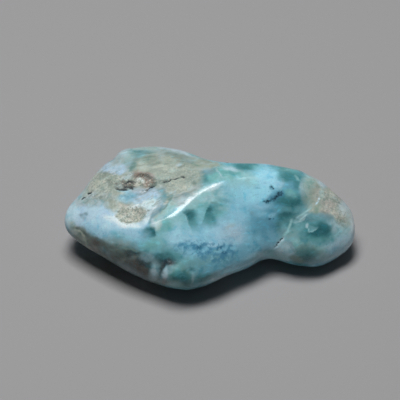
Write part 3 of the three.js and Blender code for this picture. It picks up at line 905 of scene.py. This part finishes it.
POCKET = [
    ("pearl", -16.8, -1.6, 3.4, 1.1, -3, 1, 0.5),
    ("pale", -13.2, 0.2, 0.8, 2.2, -24, 0.9, 0.5),
    ("sand", -16.9, 0, 3, 2.1, 3, 1, 0.12),
    ("sand", -14.2, 1, 1.7, 0.85, 4, 1, 0.14),
    ("cream", -16.2, 0.5, 3, 1.6, 8, 0.5, 0.4),
    ("pale", -17.6, 2.4, 1.7, 0.7, -10, 0.7, 0.7),
    # painted highlight on the right end of the pocket's lip
    ("chalk", -13.1, -0.2, 0.7, 1.4, -24, 0.8, 0.6),
    ("sand", -17.9, 2.3, 2.2, 1, -14, 0.9, 0.4),
    ("cream", -17.2, 2.2, 1.7, 0.5, -8, 0.8, 0.7),
    ("sky", -18.2, 3.2, 1.2, 0.5, -10, 0.7, 0.6),
    ("beige", -14.4, 0.9, 1.5, 0.8, 15, 0.9, 0.7),
    ("lichen", -16, -0.2, 1.4, 0.5, -20, 0.5),
    ("lichen", -14.1, 0.2, 0.6, 0.5, 0, 0.7, 0.7),
    ("lichen", -18.6, 0.9, 0.6, 0.5, 0, 0.5, 0.7),
    *vein("cream", ((-17.6, -0.8), (-16.6, 0.4), (-15.4, 1.9)), 0.28, 0.9),
    *vein("cream", ((-16, 0.2), (-14.8, 1.4)), 0.22, 0.7),
    *vein("cream", ((-18.8, -0.4), (-17.8, 0.8)), 0.22, 0.6, 0.7),
    *vein("lichen", ((-18.6, 0.2), (-17.2, 0), (-15.8, 0.9), (-14.4, 1.7)), 0.16, 0.7, 0.7),
    *vein("olive", ((-18.9, -1), (-17.6, -1.4), (-15.9, -1.2)), 0.16, 0.7, 0.7),
    *vein("olive", ((-15, -1.2), (-14.5, -0.2), (-13.8, 0.3)), 0.14, 0.6, 0.7),
    # the bright wedge over it, white stone with a painted highlight on it, and the bright lip under
    # it, a painted highlight
    # painted highlight: the chalk and pale of the wedge are brighter than its white stone
    ("chalk", -12.2, 2.3, 1.4, 1, 34, 1, 0.25),
    ("chalk", -14, 2.5, 1.7, 0.5, 10, 1, 0.5),
    ("chalk", -15.6, 2.2, 1.5, 0.35, 2, 0.8, 0.6),
    ("pale", -12.7, 0.9, 0.5, 1.2, -25, 0.9, 0.6),
    # painted highlight along the lip under the pocket
    *vein("chalk", ((-20, -0.9), (-19, -1.7), (-17.4, -2.2)), 0.36),
    *vein("pale", ((-17.4, -2.2), (-15.6, -2.2), (-14.2, -1.4)), 0.34, 0.9),
    ("chalk", -16.9, -2.3, 2.2, 0.6, -3, 0.9, 0.6),
    ("milk", -15.2, -3.7, 2.2, 0.9, -5),
    # painted highlight: ice gives the wedge the bluish white of a glint over its white stone
    ("ice", -12.4, 2.6, 1.4, 0.9, 32, 0.95, 0.4),
    ("cream", -19, 1.9, 0.8, 0.6, 0, 0.5),
]
SEAM = [
    # the dark teal bands that end at it
    ("deep_teal", 16.8, 2.7, 2.6, 0.8, -2, 0.8, 0.6),
    ("deep_teal", 16.7, -0.2, 2.2, 0.9, 4, 0.9, 0.6),
    ("dark_teal", 16.2, 0.1, 1.4, 0.5, 6, 0.6),
    ("teal", 16.4, 1.3, 2.2, 0.5, 2, 0.7),
    ("teal", 17, -1.9, 1.8, 0.9, -30, 0.5),
    ("deep_teal", 16.9, -1.9, 1.1, 0.6, -30, 0.6),
    # the pale vein and the light flank of the lobe beside the crack
    ("slate", 20.4, -0.8, 1.8, 0.6, -8),
    ("deep_teal", 19.8, -1.2, 1.6, 0.5, -8, 0.5),
    *vein("mint", ((21.4, 1.6), (20.4, 0.7), (19.4, 0.2), (18.6, -0.4)), 0.18, 0.7, 0.8),
    *vein("mint", ((20.2, -0.1), (19.8, -0.5), (19.2, -0.9)), 0.14, 0.7, 0.8),
    *vein("mint", ((17.5, -1.3), (17, -2.3), (16.6, -3.3), (16, -4.3)), 0.24, 0.9, 0.7),
    ("slate", 15.8, -7.2, 2.3, 2.3, 0, 0.9, 0.4, ((135, 0.4, 0.06), (30, 0.86, 0.08))),
    ("frost", 15.6, -7.4, 2, 1.8, 0, 0.8, 0.7, ((30, 0.86, 0.08),)),
    ("mint", 15, -8.8, 2, 0.6, -8),
    ("aqua", 12.8, -8.2, 1.2, 0.7),
    *vein("pale", ((15.9, -4.9), (15, -5.9), (13.7, -7.2)), 0.22),
    ("moss", 18.2, -9.2, 1.5, 0.7, -14, 0.9, 0.3),
    *vein("frost", ((16.4, -5.4), (17.6, -6.9), (18.4, -8)), 0.12, 0.3, 0.9),
]
SHOW_SIDE = [
    *FRONT_FACE,
    *BLUE_NET,
    *NOSE,
    *SHOULDER,
    *ROUND_LOBE,
    *KEEL,
    *UNDER_THE_NOSE,
    *BROW,
    *RIDGE_AND_TROUGH,
    *POCKET,
    *SEAM,
]
STAINS = [
    *(Patch("back", *row) for row in BACK),
    *(Patch("under", *row) for row in UNDERSIDE),
    *(Patch("show", *row) for row in SHOW_SIDE),
]

# Where black dendrites grow.
DENDRITES = [
    Spot(14.9, 4.5, 0.8, 0.65, 20),
    Spot(14.2, 4, 0.7, 0.45, 45),
    Spot(13.6, 3.4, 0.8, 0.5, 15),
    Spot(12.9, 3.1, 0.6, 0.25, 20),
    Spot(12.3, 2.85, 0.65, 0.45, 5),
    Spot(11.6, 2.9, 0.5, 0.15),
    Spot(13.1, 5.95, 0.45, 0.3, -30),
    Spot(13.5, 5.6, 0.25, 0.2, -30),
    Spot(12.7, -0.8, 0.3, 0.2),
    Spot(13.5, -0.8, 0.22, 0.2),
    Spot(13, -0.2, 0.16, 0.12),
    Spot(-3.7, 3, 0.3, 0.3, 0, "back"),
    Spot(-4.6, 2.4, 0.7, 0.3, 20, "back"),
]
# Where the blue is mottled dark and light.
NET = [
    Spot(-3, -6.9, 4.2, 1.6, -4),
    Spot(1.8, -7.8, 4, 2.2, -4),
    Spot(-0.6, -2.4, 5.6, 2, -6, "back"),
    Spot(-2, -4, 6, 2.4, 0, "under"),
]
# Where the matrix flows in streaks.
RIVER = [
    Spot(-22.6, 6.4, 5, 3.2, 38),
    Spot(-10.6, 10.2, 5.8, 3.2, -4),
    Spot(-6, 7.6, 5, 4, 14),
    Spot(9, 6.5, 8, 2.6, 6, "back"),
]


# ---------------------------------------------------------------------------------------
# Settings
# ---------------------------------------------------------------------------------------


def tint(name, description, value):
    """A colour setting."""
    return FloatVectorProperty(
        name=name, description=description, default=value, subtype="COLOR", min=0, max=1
    )


def distance(name, description, value, least=0.0):
    """A length setting, given in mm."""
    return FloatProperty(
        name=name,
        description=description,
        default=value * MM,
        min=least * MM,
        subtype="DISTANCE",
        unit="LENGTH",
    )


def factor(name, description, value):
    """A setting that goes from 0 to 1."""
    return FloatProperty(
        name=name, description=description, default=value, min=0, max=1, subtype="FACTOR"
    )


class StoneSizes(bpy.types.PropertyGroup):
    skin_step: distance("Skin step", "Size of the even squares of the skin", 0.248, 0.1)
    polish_passes: IntProperty(
        name="Polish passes", description="How many times the skin is smoothed", default=28, min=1
    )
    wave_height: distance("Wave height", "Height of the waves that hand polishing leaves", 0.10)
    grain_height: distance("Grain height", "Height of the grains of the coarsest matrix", 0.22)
    gloss: factor("Polish roughness", "Roughness of the polished stone", 0.18)
    matt: factor("Matrix roughness", "Roughness of the coarsest matrix", 0.62)
    glow_depth: distance("Glow depth", "How far light spreads inside the stone", 0.6)


class StoneColours(bpy.types.PropertyGroup):
    # Chalk is the stone's brightest white, and also the painted highlight on the wedge over the
    # pocket, along the pocket's lip and beside the ridge's highlight.
    chalk: tint("Chalk", "Brightest white", (0.84, 0.97, 1.00))
    # Ice is the bluish white of the wedge, partly its white stone and partly a painted highlight.
    ice: tint("Ice", "Bluish white of the wedge", (0.74, 0.95, 1.00))
    white: tint("White", "Milky white", (0.58, 0.80, 0.90))
    glacier: tint("Glacier", "Brightest clear blue", (0.37, 0.77, 0.93))
    milk: tint("Milk", "Milky blue of the clouds", (0.43, 0.71, 0.86))
    sky: tint("Sky", "Light blue", (0.32, 0.65, 0.80))
    blue: tint("Blue", "Clear mid blue", (0.25, 0.55, 0.69))
    lake: tint("Lake", "Deeper, greyer blue", (0.16, 0.41, 0.53))
    royal: tint("Royal blue", "Blue of the mottled net", (0.15, 0.42, 0.58))
    navy: tint("Navy", "Dark flecks of the net", (0.075, 0.27, 0.42))
    midnight: tint("Midnight", "Darkest flecks of the net", (0.04, 0.17, 0.28))
    deep_lake: tint("Deep lake", "Darkest clear blue", (0.10, 0.31, 0.42))
    slate: tint("Slate", "Grey blue", (0.21, 0.33, 0.37))
    sea_grey: tint("Sea grey", "Grey green blue", (0.17, 0.37, 0.41))
    frost: tint("Frost", "Pale rims and veins", (0.46, 0.64, 0.69))
    pearl: tint("Pearl", "Milky lavender blue", (0.52, 0.72, 0.88))
    pale: tint("Pale", "Pale grey blue rims", (0.52, 0.66, 0.72))
    lilac: tint("Lilac", "Pale violet grey", (0.45, 0.57, 0.67))
    haze: tint("Haze", "Pale grey", (0.44, 0.52, 0.51))
    aqua: tint("Aqua", "Blue green", (0.26, 0.57, 0.63))
    mint: tint("Mint", "Pale green blue", (0.34, 0.61, 0.62))
    celadon: tint("Celadon", "Pale green", (0.40, 0.55, 0.51))
    jade: tint("Jade", "Milky green", (0.19, 0.47, 0.46))
    teal: tint("Teal", "Strong blue green", (0.12, 0.34, 0.37))
    deep_teal: tint("Deep teal", "Dark blue green", (0.055, 0.22, 0.235))
    dark_teal: tint("Dark teal", "Darkest blue green", (0.027, 0.125, 0.14))
    moss: tint("Moss", "Grey green", (0.19, 0.30, 0.27))
    khaki: tint("Khaki", "The matrix", (0.38, 0.44, 0.37))
    sand: tint("Sand", "Pale matrix", (0.48, 0.53, 0.45))
    lichen: tint("Lichen", "Dark streaks of the matrix", (0.23, 0.28, 0.24))
    stone: tint("Stone", "Grey matrix", (0.15, 0.18, 0.16))
    olive: tint("Olive", "Darkest matrix", (0.085, 0.11, 0.095))
    beige: tint("Beige", "Warm matrix", (0.42, 0.43, 0.38))
    rose: tint("Rose", "Pinkish matrix", (0.42, 0.37, 0.33))
    cream: tint("Cream", "Pale grains", (0.66, 0.65, 0.56))
    rust: tint("Rust", "Red brown of the vug", (0.25, 0.165, 0.13))
    umber: tint("Umber", "Darkest brown", (0.09, 0.075, 0.065))
    night: tint("Night", "Blue black of the dendrites", (0.012, 0.035, 0.055))
    # Ink is the black of cracks, and also the painted shade in the crevice over the boss.
    ink: tint("Ink", "Black of cracks", (0.018, 0.03, 0.036))


class StageSettings(bpy.types.PropertyGroup):
    floor: tint("Floor", "Colour of the floor", (0.37, 0.365, 0.37))
    dome: FloatProperty(
        name="Dome", description="Strength of the light from all round", default=0.04, min=0
    )
    key: FloatProperty(
        name="Key", description="Power of the large soft light above", default=4.25, unit="POWER"
    )
    elevation: FloatProperty(
        name="Camera elevation",
        description="How high the camera looks down from",
        default=math.radians(45),
        subtype="ANGLE",
        unit="ROTATION",
    )


# ---------------------------------------------------------------------------------------
# Shader maths
# ---------------------------------------------------------------------------------------


NOISE_MIDDLE = 0.5  # shader noise goes from 0 to 1


class Socket:
    """A shader socket that Python arithmetic turns into Math nodes."""

    def __init__(self, tree, output=None):
        self.tree = tree
        self.output = output

    def node(self, kind, settings=None, inputs=None, output=0):
        """Adds a node, sets it up, feeds its inputs and returns the wanted output."""
        made = self.tree.nodes.new(kind)
        for name, value in (settings or {}).items():
            setattr(made, name, value)
        for key, value in (inputs or {}).items():
            target = find_socket(made.inputs, key)
            if isinstance(value, Socket):
                self.tree.links.new(value.output, target)
            else:
                target.default_value = value
        return Socket(self.tree, find_socket(made.outputs, output))

    def math(self, operation, *operands):
        """The outcome of a Math node."""
        return self.node("ShaderNodeMath", {"operation": operation}, dict(enumerate(operands)))

    def __add__(self, other):
        return self.math("ADD", self, other)

    def __radd__(self, other):
        return self.math("ADD", other, self)

    def __sub__(self, other):
        return self.math("SUBTRACT", self, other)

    def __rsub__(self, other):
        return self.math("SUBTRACT", other, self)

    def __mul__(self, other):
        return self.math("MULTIPLY", self, other)

    def __rmul__(self, other):
        return self.math("MULTIPLY", other, self)

    def vector_math(self, operation, *operands):
        """The outcome of a Vector Math node."""
        return self.node(
            "ShaderNodeVectorMath", {"operation": operation}, dict(enumerate(operands))
        )

    def step(self, low, high, start=0.0, end=1.0):
        """Goes smoothly from start to end as this value goes from low to high."""
        return self.node(
            "ShaderNodeMapRange",
            {"interpolation_type": "SMOOTHSTEP"},
            {"Value": self, "From Min": low, "From Max": high, "To Min": start, "To Max": end},
        )


def find_socket(sockets, key):
    """A socket by its number, its identifier or its name."""
    if isinstance(key, int):
        return sockets[key]
    for socket in sockets:
        if socket.identifier == key:
            return socket
    return sockets[key]


def mix(share, under, over, blend="MIX"):
    """A colour that goes from under to over as share goes from 0 to 1."""
    return share.node(
        "ShaderNodeMix",
        {"data_type": "RGBA", "blend_type": blend},
        {"Factor_Float": share, "A_Color": under, "B_Color": over},
        "Result_Color",
    )


def scaled(vector, factor):
    """A vector made this many times as long."""
    return vector.node(
        "ShaderNodeVectorMath", {"operation": "SCALE"}, {"Vector": vector, "Scale": factor}
    )


def noise_at(place, wave, detail=2.0, output="Fac"):
    """Noise with waves of this length in mm."""
    return place.node(
        "ShaderNodeTexNoise", {}, {"Vector": place, "Scale": 1 / wave, "Detail": detail}, output
    )


def wandering(place, wave, push):
    """The place pushed about by noise with this wave length and push in mm."""
    swirl = noise_at(place, wave, 1.0, "Color")
    centred = swirl.vector_math("SUBTRACT", swirl, (NOISE_MIDDLE,) * 3)
    return place.vector_math("ADD", place, scaled(centred, 2 * push))


def stretched(place, turn, factors):
    """The place turned about the show side's outward axis and stretched by these factors."""
    axes = SIDES["show"].to_4x4() @ Matrix.Rotation(math.radians(turn), 4, "Z")
    return place.node(
        "ShaderNodeMapping",
        {"vector_type": "TEXTURE"},
        {"Vector": place, "Rotation": axes.to_euler(), "Scale": factors},
    )


# ---------------------------------------------------------------------------------------
# The stone's material
# ---------------------------------------------------------------------------------------

# What the skin's points store: their colour, and what they are like, from 0 to 1.
STAIN = "stain"
MASKS = ("matrix", "crack", "dendrite", "net", "river")

WISP_TURN = 8  # degrees, the way the wisps run
FLOW_TURN = 20  # degrees, the way the matrix flows across the brow
WEAR = 0.3  # how much the gloss varies from place to place
POLISHED = 0.05  # the matrix up to which the stone is fully glossy, and that from which it is matt
UNPOLISHED = 0.65
GRIT_HEIGHT = 0.06 * MM  # of the finest grains of the matrix
GRIT_STRENGTH = 0.6
GLOW_SHARE = 0.2  # how much of the light spreads inside the stone
GLOW_SPREAD = (0.7, 1.0, 1.0)  # how far its red, green and blue spread, as shares of the depth
REFRACTION = 1.5


def colour_of(name):
    """A colour setting, with full alpha."""
    return (*getattr(bpy.context.scene.larimar_colours, name), 1.0)


def attribute(blank, name, output="Fac"):
    """What the skin's points store under this name."""
    return blank.node("ShaderNodeAttribute", {"attribute_name": name}, output=output)


def stone_colour(place, stain, masks):
    """The stain with the clouds, fibres, grains and specks that are finer than the skin.

    Each noise is given its wave length in mm and its detail. Each layer is given the noise at
    which it starts and is full, and how strong it is there."""
    coarse = masks["matrix"]
    clear = 1 - coarse.step(0.0, 0.3)
    drifting = wandering(place, 1.8, 0.6)
    clouds = noise_at(drifting, 1.7, 5.0)
    body = mix(clouds.step(0.50, 0.72, 0, 0.55), stain, colour_of("white"), "SOFT_LIGHT")
    body = mix(clouds.step(0.50, 0.28, 0, 0.60), body, colour_of("deep_teal"), "SOFT_LIGHT")
    wisps = noise_at(stretched(drifting, WISP_TURN, (3.5, 1, 1)), 0.7, 3.0)
    body = mix(wisps.step(0.54, 0.74, 0, 0.60) * clear, body, colour_of("white"), "SOFT_LIGHT")
    body = mix(wisps.step(0.46, 0.26, 0, 0.25) * clear, body, colour_of("lake"))
    mottle = noise_at(drifting, 0.9, 2.0)
    body = mix(mottle.step(0.50, 0.62) * masks["net"] * 0.8, body, colour_of("navy"))
    body = mix(mottle.step(0.46, 0.36) * masks["net"] * 0.5, body, colour_of("sky"))
    streaks = noise_at(stretched(drifting, FLOW_TURN, (4, 1, 1)), 0.8, 3.0)
    flow = masks["river"]
    body = mix(streaks.step(0.50, 0.36) * flow * 0.55, body, colour_of("lichen"))
    body = mix(streaks.step(0.54, 0.70) * flow * 0.55, body, colour_of("sand"))
    grains = noise_at(place, 0.40, 3.0)
    gritty = coarse.step(0.38, 0.75)
    body = mix(grains.step(0.52, 0.36) * gritty * 0.8, body, colour_of("lichen"))
    body = mix(grains.step(0.54, 0.68) * gritty * 0.7, body, colour_of("cream"))
    flecks = noise_at(drifting, 0.55, 2.0)
    body = mix(flecks.step(0.36, 0.24) * gritty * 0.9, body, colour_of("umber"))
    twigs = noise_at(place, 0.28, 4.0)
    growth = masks["dendrite"] + (twigs - NOISE_MIDDLE) * 2.0
    body = mix(growth.step(0.0, 0.9, 0, 0.7), body, colour_of("deep_lake"))
    body = mix(growth.step(0.35, 1.25, 0, 0.95), body, colour_of("night"))
    gaps = (masks["crack"] + (twigs - NOISE_MIDDLE) * 0.9).step(0.35, 0.95)
    return mix(gaps * 0.95, body, colour_of("ink"))


def stone_material():
    """Larimar: mottled, milky and polished, with matt matrix."""
    sizes = bpy.context.scene.larimar_sizes
    material = bpy.data.materials.new("larimar")
    material.use_nodes = True
    tree = material.node_tree
    shader = tree.nodes["Principled BSDF"]
    blank = Socket(tree)
    masks = {name: attribute(blank, name) for name in MASKS}
    stain = attribute(blank, STAIN, "Vector")
    place = scaled(blank.node("ShaderNodeTexCoord", output="Object"), 1 / MM)
    colour = stone_colour(place, stain, masks)
    tree.links.new(colour.output, shader.inputs["Base Color"])
    worn = masks["matrix"] + (noise_at(place, 0.8, 3.0) - NOISE_MIDDLE) * WEAR
    roughness = worn.step(POLISHED, UNPOLISHED, sizes.gloss, sizes.matt)
    tree.links.new(roughness.output, shader.inputs["Roughness"])
    grit = noise_at(place, 0.22, 3.0) * masks["matrix"]
    bump = grit.node(
        "ShaderNodeBump",
        {},
        {"Height": grit, "Distance": GRIT_HEIGHT, "Strength": GRIT_STRENGTH},
    )
    tree.links.new(bump.output, shader.inputs["Normal"])
    shader.inputs["Subsurface Weight"].default_value = GLOW_SHARE
    shader.inputs["Subsurface Radius"].default_value = GLOW_SPREAD
    shader.inputs["Subsurface Scale"].default_value = sizes.glow_depth
    shader.inputs["IOR"].default_value = REFRACTION
    return material


# ---------------------------------------------------------------------------------------
# The stone's skin
# ---------------------------------------------------------------------------------------

WELD = 0.001 * MM  # points of the solid that are nearer than this become one
SMOOTHING = 0.5  # how far a point goes towards its neighbours' middle in one polish pass

# Pairs of a wave length and a push in mm: how the relief and the stains stray from their spots,
# and how the clouds in the stone's own blue drift.
RELIEF_CHURN = ((2.5, 0.35), (0.8, 0.30))
STAIN_CHURN = ((2.5, 0.30), (1.0, 0.25), (0.45, 0.12))
CLOUD_CHURN = ((5.0, 1.5),)

# Pairs of a wave length in mm and a share of the height.
POLISH_WAVES = ((6.0, 1.0), (2.2, 0.15))
GRAIN_WAVES = ((0.45, 0.6), (0.9, 0.5))
GRAIN_SINK = 0.3  # how far the matrix lies under the polish, as a share of its grains' height

# How soft the rims are: those of cracks, of dendrites, and of the net and the river.
CRACK_RIM = 0.6
DENDRITE_RIM = 0.7
REGION_RIM = 0.5

GROUND = "blue"
# The clouds in it: colour, wave length in mm, and the noise at which each starts and is full.
CLOUDS = (
    ("aqua", 7.0, -0.1, 0.4),
    ("lake", 5.0, 0.0, 0.5),
    ("sky", 4.0, -0.1, 0.4),
    ("milk", 3.0, 0.2, 0.6),
)


def even_skin(sizes):
    """The frame's solid recut into even squares and smoothed, as a new mesh."""
    shell = bmesh.new()
    shell.from_mesh(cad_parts[NODE].data)
    bmesh.ops.remove_doubles(shell, verts=shell.verts, dist=WELD)
    rough = bpy.data.meshes.new("rough")
    shell.to_mesh(rough)
    shell.free()
    holder = bpy.data.objects.new("rough", rough)
    bpy.context.scene.collection.objects.link(holder)
    recut = holder.modifiers.new("even squares", "REMESH")
    recut.mode = "VOXEL"
    recut.voxel_size = sizes.skin_step
    graph = bpy.context.evaluated_depsgraph_get()
    skin = bpy.data.meshes.new_from_object(holder.evaluated_get(graph))
    bpy.data.objects.remove(holder)
    bpy.data.meshes.remove(rough)
    shell = bmesh.new()
    shell.from_mesh(skin)
    every_way = {"use_axis_x": True, "use_axis_y": True, "use_axis_z": True}
    for _ in range(sizes.polish_passes):
        bmesh.ops.smooth_vert(shell, verts=shell.verts, factor=SMOOTHING, **every_way)
    shell.to_mesh(skin)
    shell.free()
    return skin


def vectors_of(items, name):
    """A vector property of all of a mesh's items, as rows."""
    flat = np.empty(len(items) * 3, np.float32)
    items.foreach_get(name, flat)
    return flat.reshape(-1, 3).astype(float)


def store(mesh, name, kind, values):
    """Keeps a value for each point of the mesh, for the material to read."""
    layer = mesh.attributes.new(name, kind, "POINT")
    layer.data.foreach_set("vector" if kind == "FLOAT_VECTOR" else "value", values.ravel())


def highest(points, covers):
    """The highest cover at each point, and 0 where there is none."""
    return np.max([np.zeros(len(points)), *covers], axis=0)


def widest(points, spots, soft):
    """How well spots with the same soft rim cover each point."""
    return highest(points, (cover(points, spot, soft) for spot in spots))


def crack_cover(points, crack):
    """1 along the middle of a crack and 0 beside it."""
    return widest(points, strokes(crack.path, crack.half_width), CRACK_RIM)


def find_masks(points, strayed):
    """What the skin is like at each point, from 0 to 1."""
    matrix = (rough.coarse * cover(strayed, rough.spot, rough.soft) for rough in MATRIX)
    return {
        "matrix": highest(points, matrix),
        "crack": highest(points, (crack_cover(strayed, crack) for crack in CRACKS)),
        "dendrite": widest(points, DENDRITES, DENDRITE_RIM),
        "net": widest(strayed, NET, REGION_RIM),
        "river": widest(strayed, RIVER, REGION_RIM),
    }


def heaped(points, waves):
    """Noise of several (wave length, share) pairs on top of one another."""
    return sum(share * lumps(points, wave) for wave, share in waves)


def relief(points, strayed, masks, sizes):
    """How far each point of the skin is moved outwards, in mm."""
    grains = heaped(points, GRAIN_WAVES) - GRAIN_SINK
    height = sizes.wave_height / MM * heaped(points, POLISH_WAVES)
    height += sizes.grain_height / MM * masks["matrix"] * grains
    for hollow in HOLLOWS:
        height -= hollow.deep * cover(strayed, hollow.spot, hollow.soft)
    for crack in CRACKS + SEAMS:
        height -= crack.deep * crack_cover(strayed, crack)
    return height


def rgb(name):
    """A colour setting as an array."""
    return np.array(colour_of(name)[:3])


def base_stain(points):
    """The colour of the stone where nothing else stains it."""
    drifting = churned(points, CLOUD_CHURN)
    stain = np.tile(rgb(GROUND), (len(points), 1))
    for name, wave, low, high in CLOUDS:
        share = smoothstep(low, high, lumps(drifting + wave, wave))[:, None]
        stain += share * (rgb(name) - stain)
    return stain


def patch_cover(points, patch):
    """How thick a patch lies at each point, from 0 to 1."""
    local = inside(points, patch.spot())
    share = smoothstep(1 + patch.soft, 1 - patch.soft, reach(local))
    for way, offset, soft in patch.edges:
        turn = math.radians(way)
        towards = local[:, 0] * math.cos(turn) + local[:, 1] * math.sin(turn)
        share *= smoothstep(offset + soft, offset - soft, towards)
    return patch.strength * share


def stained(points):
    """The colour of each point of the skin."""
    stain = base_stain(points)
    strayed = churned(points, STAIN_CHURN)
    for patch in STAINS:
        stain += patch_cover(strayed, patch)[:, None] * (rgb(patch.colour) - stain)
    return stain


def add_stone():
    """The stone's skin with its relief, stains and material, in place of the plain solid."""
    sizes = bpy.context.scene.larimar_sizes
    skin = even_skin(sizes)
    points = vectors_of(skin.vertices, "co") / MM
    outward = vectors_of(skin.vertex_normals, "vector")
    strayed = churned(points, RELIEF_CHURN)
    masks = find_masks(points, strayed)
    moved = points + outward * relief(points, strayed, masks, sizes)[:, None]
    skin.vertices.foreach_set("co", (moved * MM).ravel())
    store(skin, STAIN, "FLOAT_VECTOR", stained(points))
    for name, values in masks.items():
        store(skin, name, "FLOAT", values)
    skin.polygons.foreach_set("use_smooth", np.ones(len(skin.polygons), bool))
    skin.update()
    skin.name = "polished_nugget"
    skin.materials.clear()
    skin.materials.append(stone_material())
    stone = bpy.data.objects.new("polished_nugget", skin)
    bpy.context.scene.collection.objects.link(stone)
    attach(stone, "root")
    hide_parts(NODE)


# ---------------------------------------------------------------------------------------
# The stage
# ---------------------------------------------------------------------------------------

FLOOR_SIZE = 20 * DIAGONAL
FLOOR_ROUGHNESS = 0.9
FLOOR_SHEEN = 0.2
DOME_COLOUR = (0.95, 0.97, 1.0, 1)

LIGHT_PLACE = Vector((-0.8, 0.6, 9)) * DIAGONAL  # from the middle of the stone's box
LIGHT_WIDE = 4.4 * DIAGONAL
LIGHT_DEEP = 3.2 * DIAGONAL

CAMERA_DISTANCE = 6.6 * DIAGONAL  # from the middle of what the picture shows
FIELD_OF_VIEW = math.radians(9.94)
NEAREST_SEEN = 0.01  # metres
AIM_ALONG = -2.0  # where the camera looks, in mm from the middle of the stone's box
AIM_UP = 3.2


def add_floor(colour):
    """A plain sheet under the stone."""
    sheet = bmesh.new()
    bmesh.ops.create_grid(sheet, x_segments=1, y_segments=1, size=FLOOR_SIZE)
    mesh = bpy.data.meshes.new("floor")
    sheet.to_mesh(mesh)
    sheet.free()
    floor = bpy.data.objects.new("floor", mesh)
    bpy.context.scene.collection.objects.link(floor)
    material = bpy.data.materials.new("floor")
    material.use_nodes = True
    shader = material.node_tree.nodes["Principled BSDF"]
    shader.inputs["Base Color"].default_value = (*colour, 1)
    shader.inputs["Roughness"].default_value = FLOOR_ROUGHNESS
    shader.inputs["Specular IOR Level"].default_value = FLOOR_SHEEN
    mesh.materials.append(material)


def add_key_light(power):
    """A soft oblong light that hangs over the stone, wide along it and deep across it."""
    lamp = bpy.data.lights.new("key", "AREA")
    lamp.shape = "RECTANGLE"
    lamp.size = LIGHT_WIDE
    lamp.size_y = LIGHT_DEEP
    lamp.energy = power
    light = bpy.data.objects.new("key", lamp)
    middle = MIDDLE * MM
    place = middle + LIGHT_PLACE
    light.location = place
    light.rotation_mode = "QUATERNION"
    light.rotation_quaternion = (middle - place).to_track_quat("-Z", "Y")
    bpy.context.scene.collection.objects.link(light)


def add_world(strength):
    """Faint light from all round."""
    world = bpy.data.worlds.new("dome")
    world.use_nodes = True
    background = world.node_tree.nodes["Background"]
    background.inputs["Color"].default_value = DOME_COLOUR
    background.inputs["Strength"].default_value = strength
    bpy.context.scene.world = world


def add_camera(elevation):
    """A camera that looks at the show side."""
    axes = facing(0, math.degrees(elevation))
    aim = (MIDDLE + axes @ Vector((AIM_ALONG, AIM_UP, 0))) * MM
    lens = bpy.data.cameras.new("camera")
    lens.angle = FIELD_OF_VIEW
    lens.clip_start = NEAREST_SEEN
    camera = bpy.data.objects.new("camera", lens)
    camera.location = aim + axes.col[2] * CAMERA_DISTANCE
    camera.rotation_mode = "QUATERNION"
    camera.rotation_quaternion = axes.to_quaternion()
    bpy.context.scene.collection.objects.link(camera)
    bpy.context.scene.camera = camera


# ---------------------------------------------------------------------------------------
# Operators, panel and registration
# ---------------------------------------------------------------------------------------


class LARIMAR_OT_nugget(bpy.types.Operator):
    """Build the polished larimar nugget in place of its plain solid"""

    bl_idname = "larimar.nugget"
    bl_label = "Polished Nugget"

    def execute(self, context):
        noise.seed_set(NOISE_SEED)
        add_stone()
        return {"FINISHED"}


class LARIMAR_OT_stage(bpy.types.Operator):
    """Set up the floor, the light and the camera"""

    bl_idname = "larimar.stage"
    bl_label = "Stage"

    def execute(self, context):
        settings = context.scene.larimar_stage
        add_floor(settings.floor)
        add_world(settings.dome)
        add_key_light(settings.key)
        add_camera(settings.elevation)
        context.scene.view_settings.view_transform = "Standard"
        return {"FINISHED"}


class LARIMAR_PT_panel(bpy.types.Panel):
    """Lists the builders of the stone and its stage"""

    bl_idname = "LARIMAR_PT_panel"
    bl_label = "Larimar"
    bl_space_type = "VIEW_3D"
    bl_region_type = "UI"
    bl_category = "Larimar"

    def draw(self, context):
        for builder in (LARIMAR_OT_nugget, LARIMAR_OT_stage):
            self.layout.operator(builder.bl_idname)


CLASSES = (
    StoneSizes,
    StoneColours,
    StageSettings,
    LARIMAR_OT_nugget,
    LARIMAR_OT_stage,
    LARIMAR_PT_panel,
)
SETTINGS = {
    "larimar_sizes": StoneSizes,
    "larimar_colours": StoneColours,
    "larimar_stage": StageSettings,
}


def register():
    for made in CLASSES:
        bpy.utils.register_class(made)
    for name, group in SETTINGS.items():
        setattr(bpy.types.Scene, name, PointerProperty(type=group))


def unregister():
    for name in SETTINGS:
        delattr(bpy.types.Scene, name)
    for made in reversed(CLASSES):
        bpy.utils.unregister_class(made)


def main():
    """Builds the stone and its stage."""
    register()
    bpy.ops.larimar.nugget()
    bpy.ops.larimar.stage()


if __name__ == "__main__":
    main()
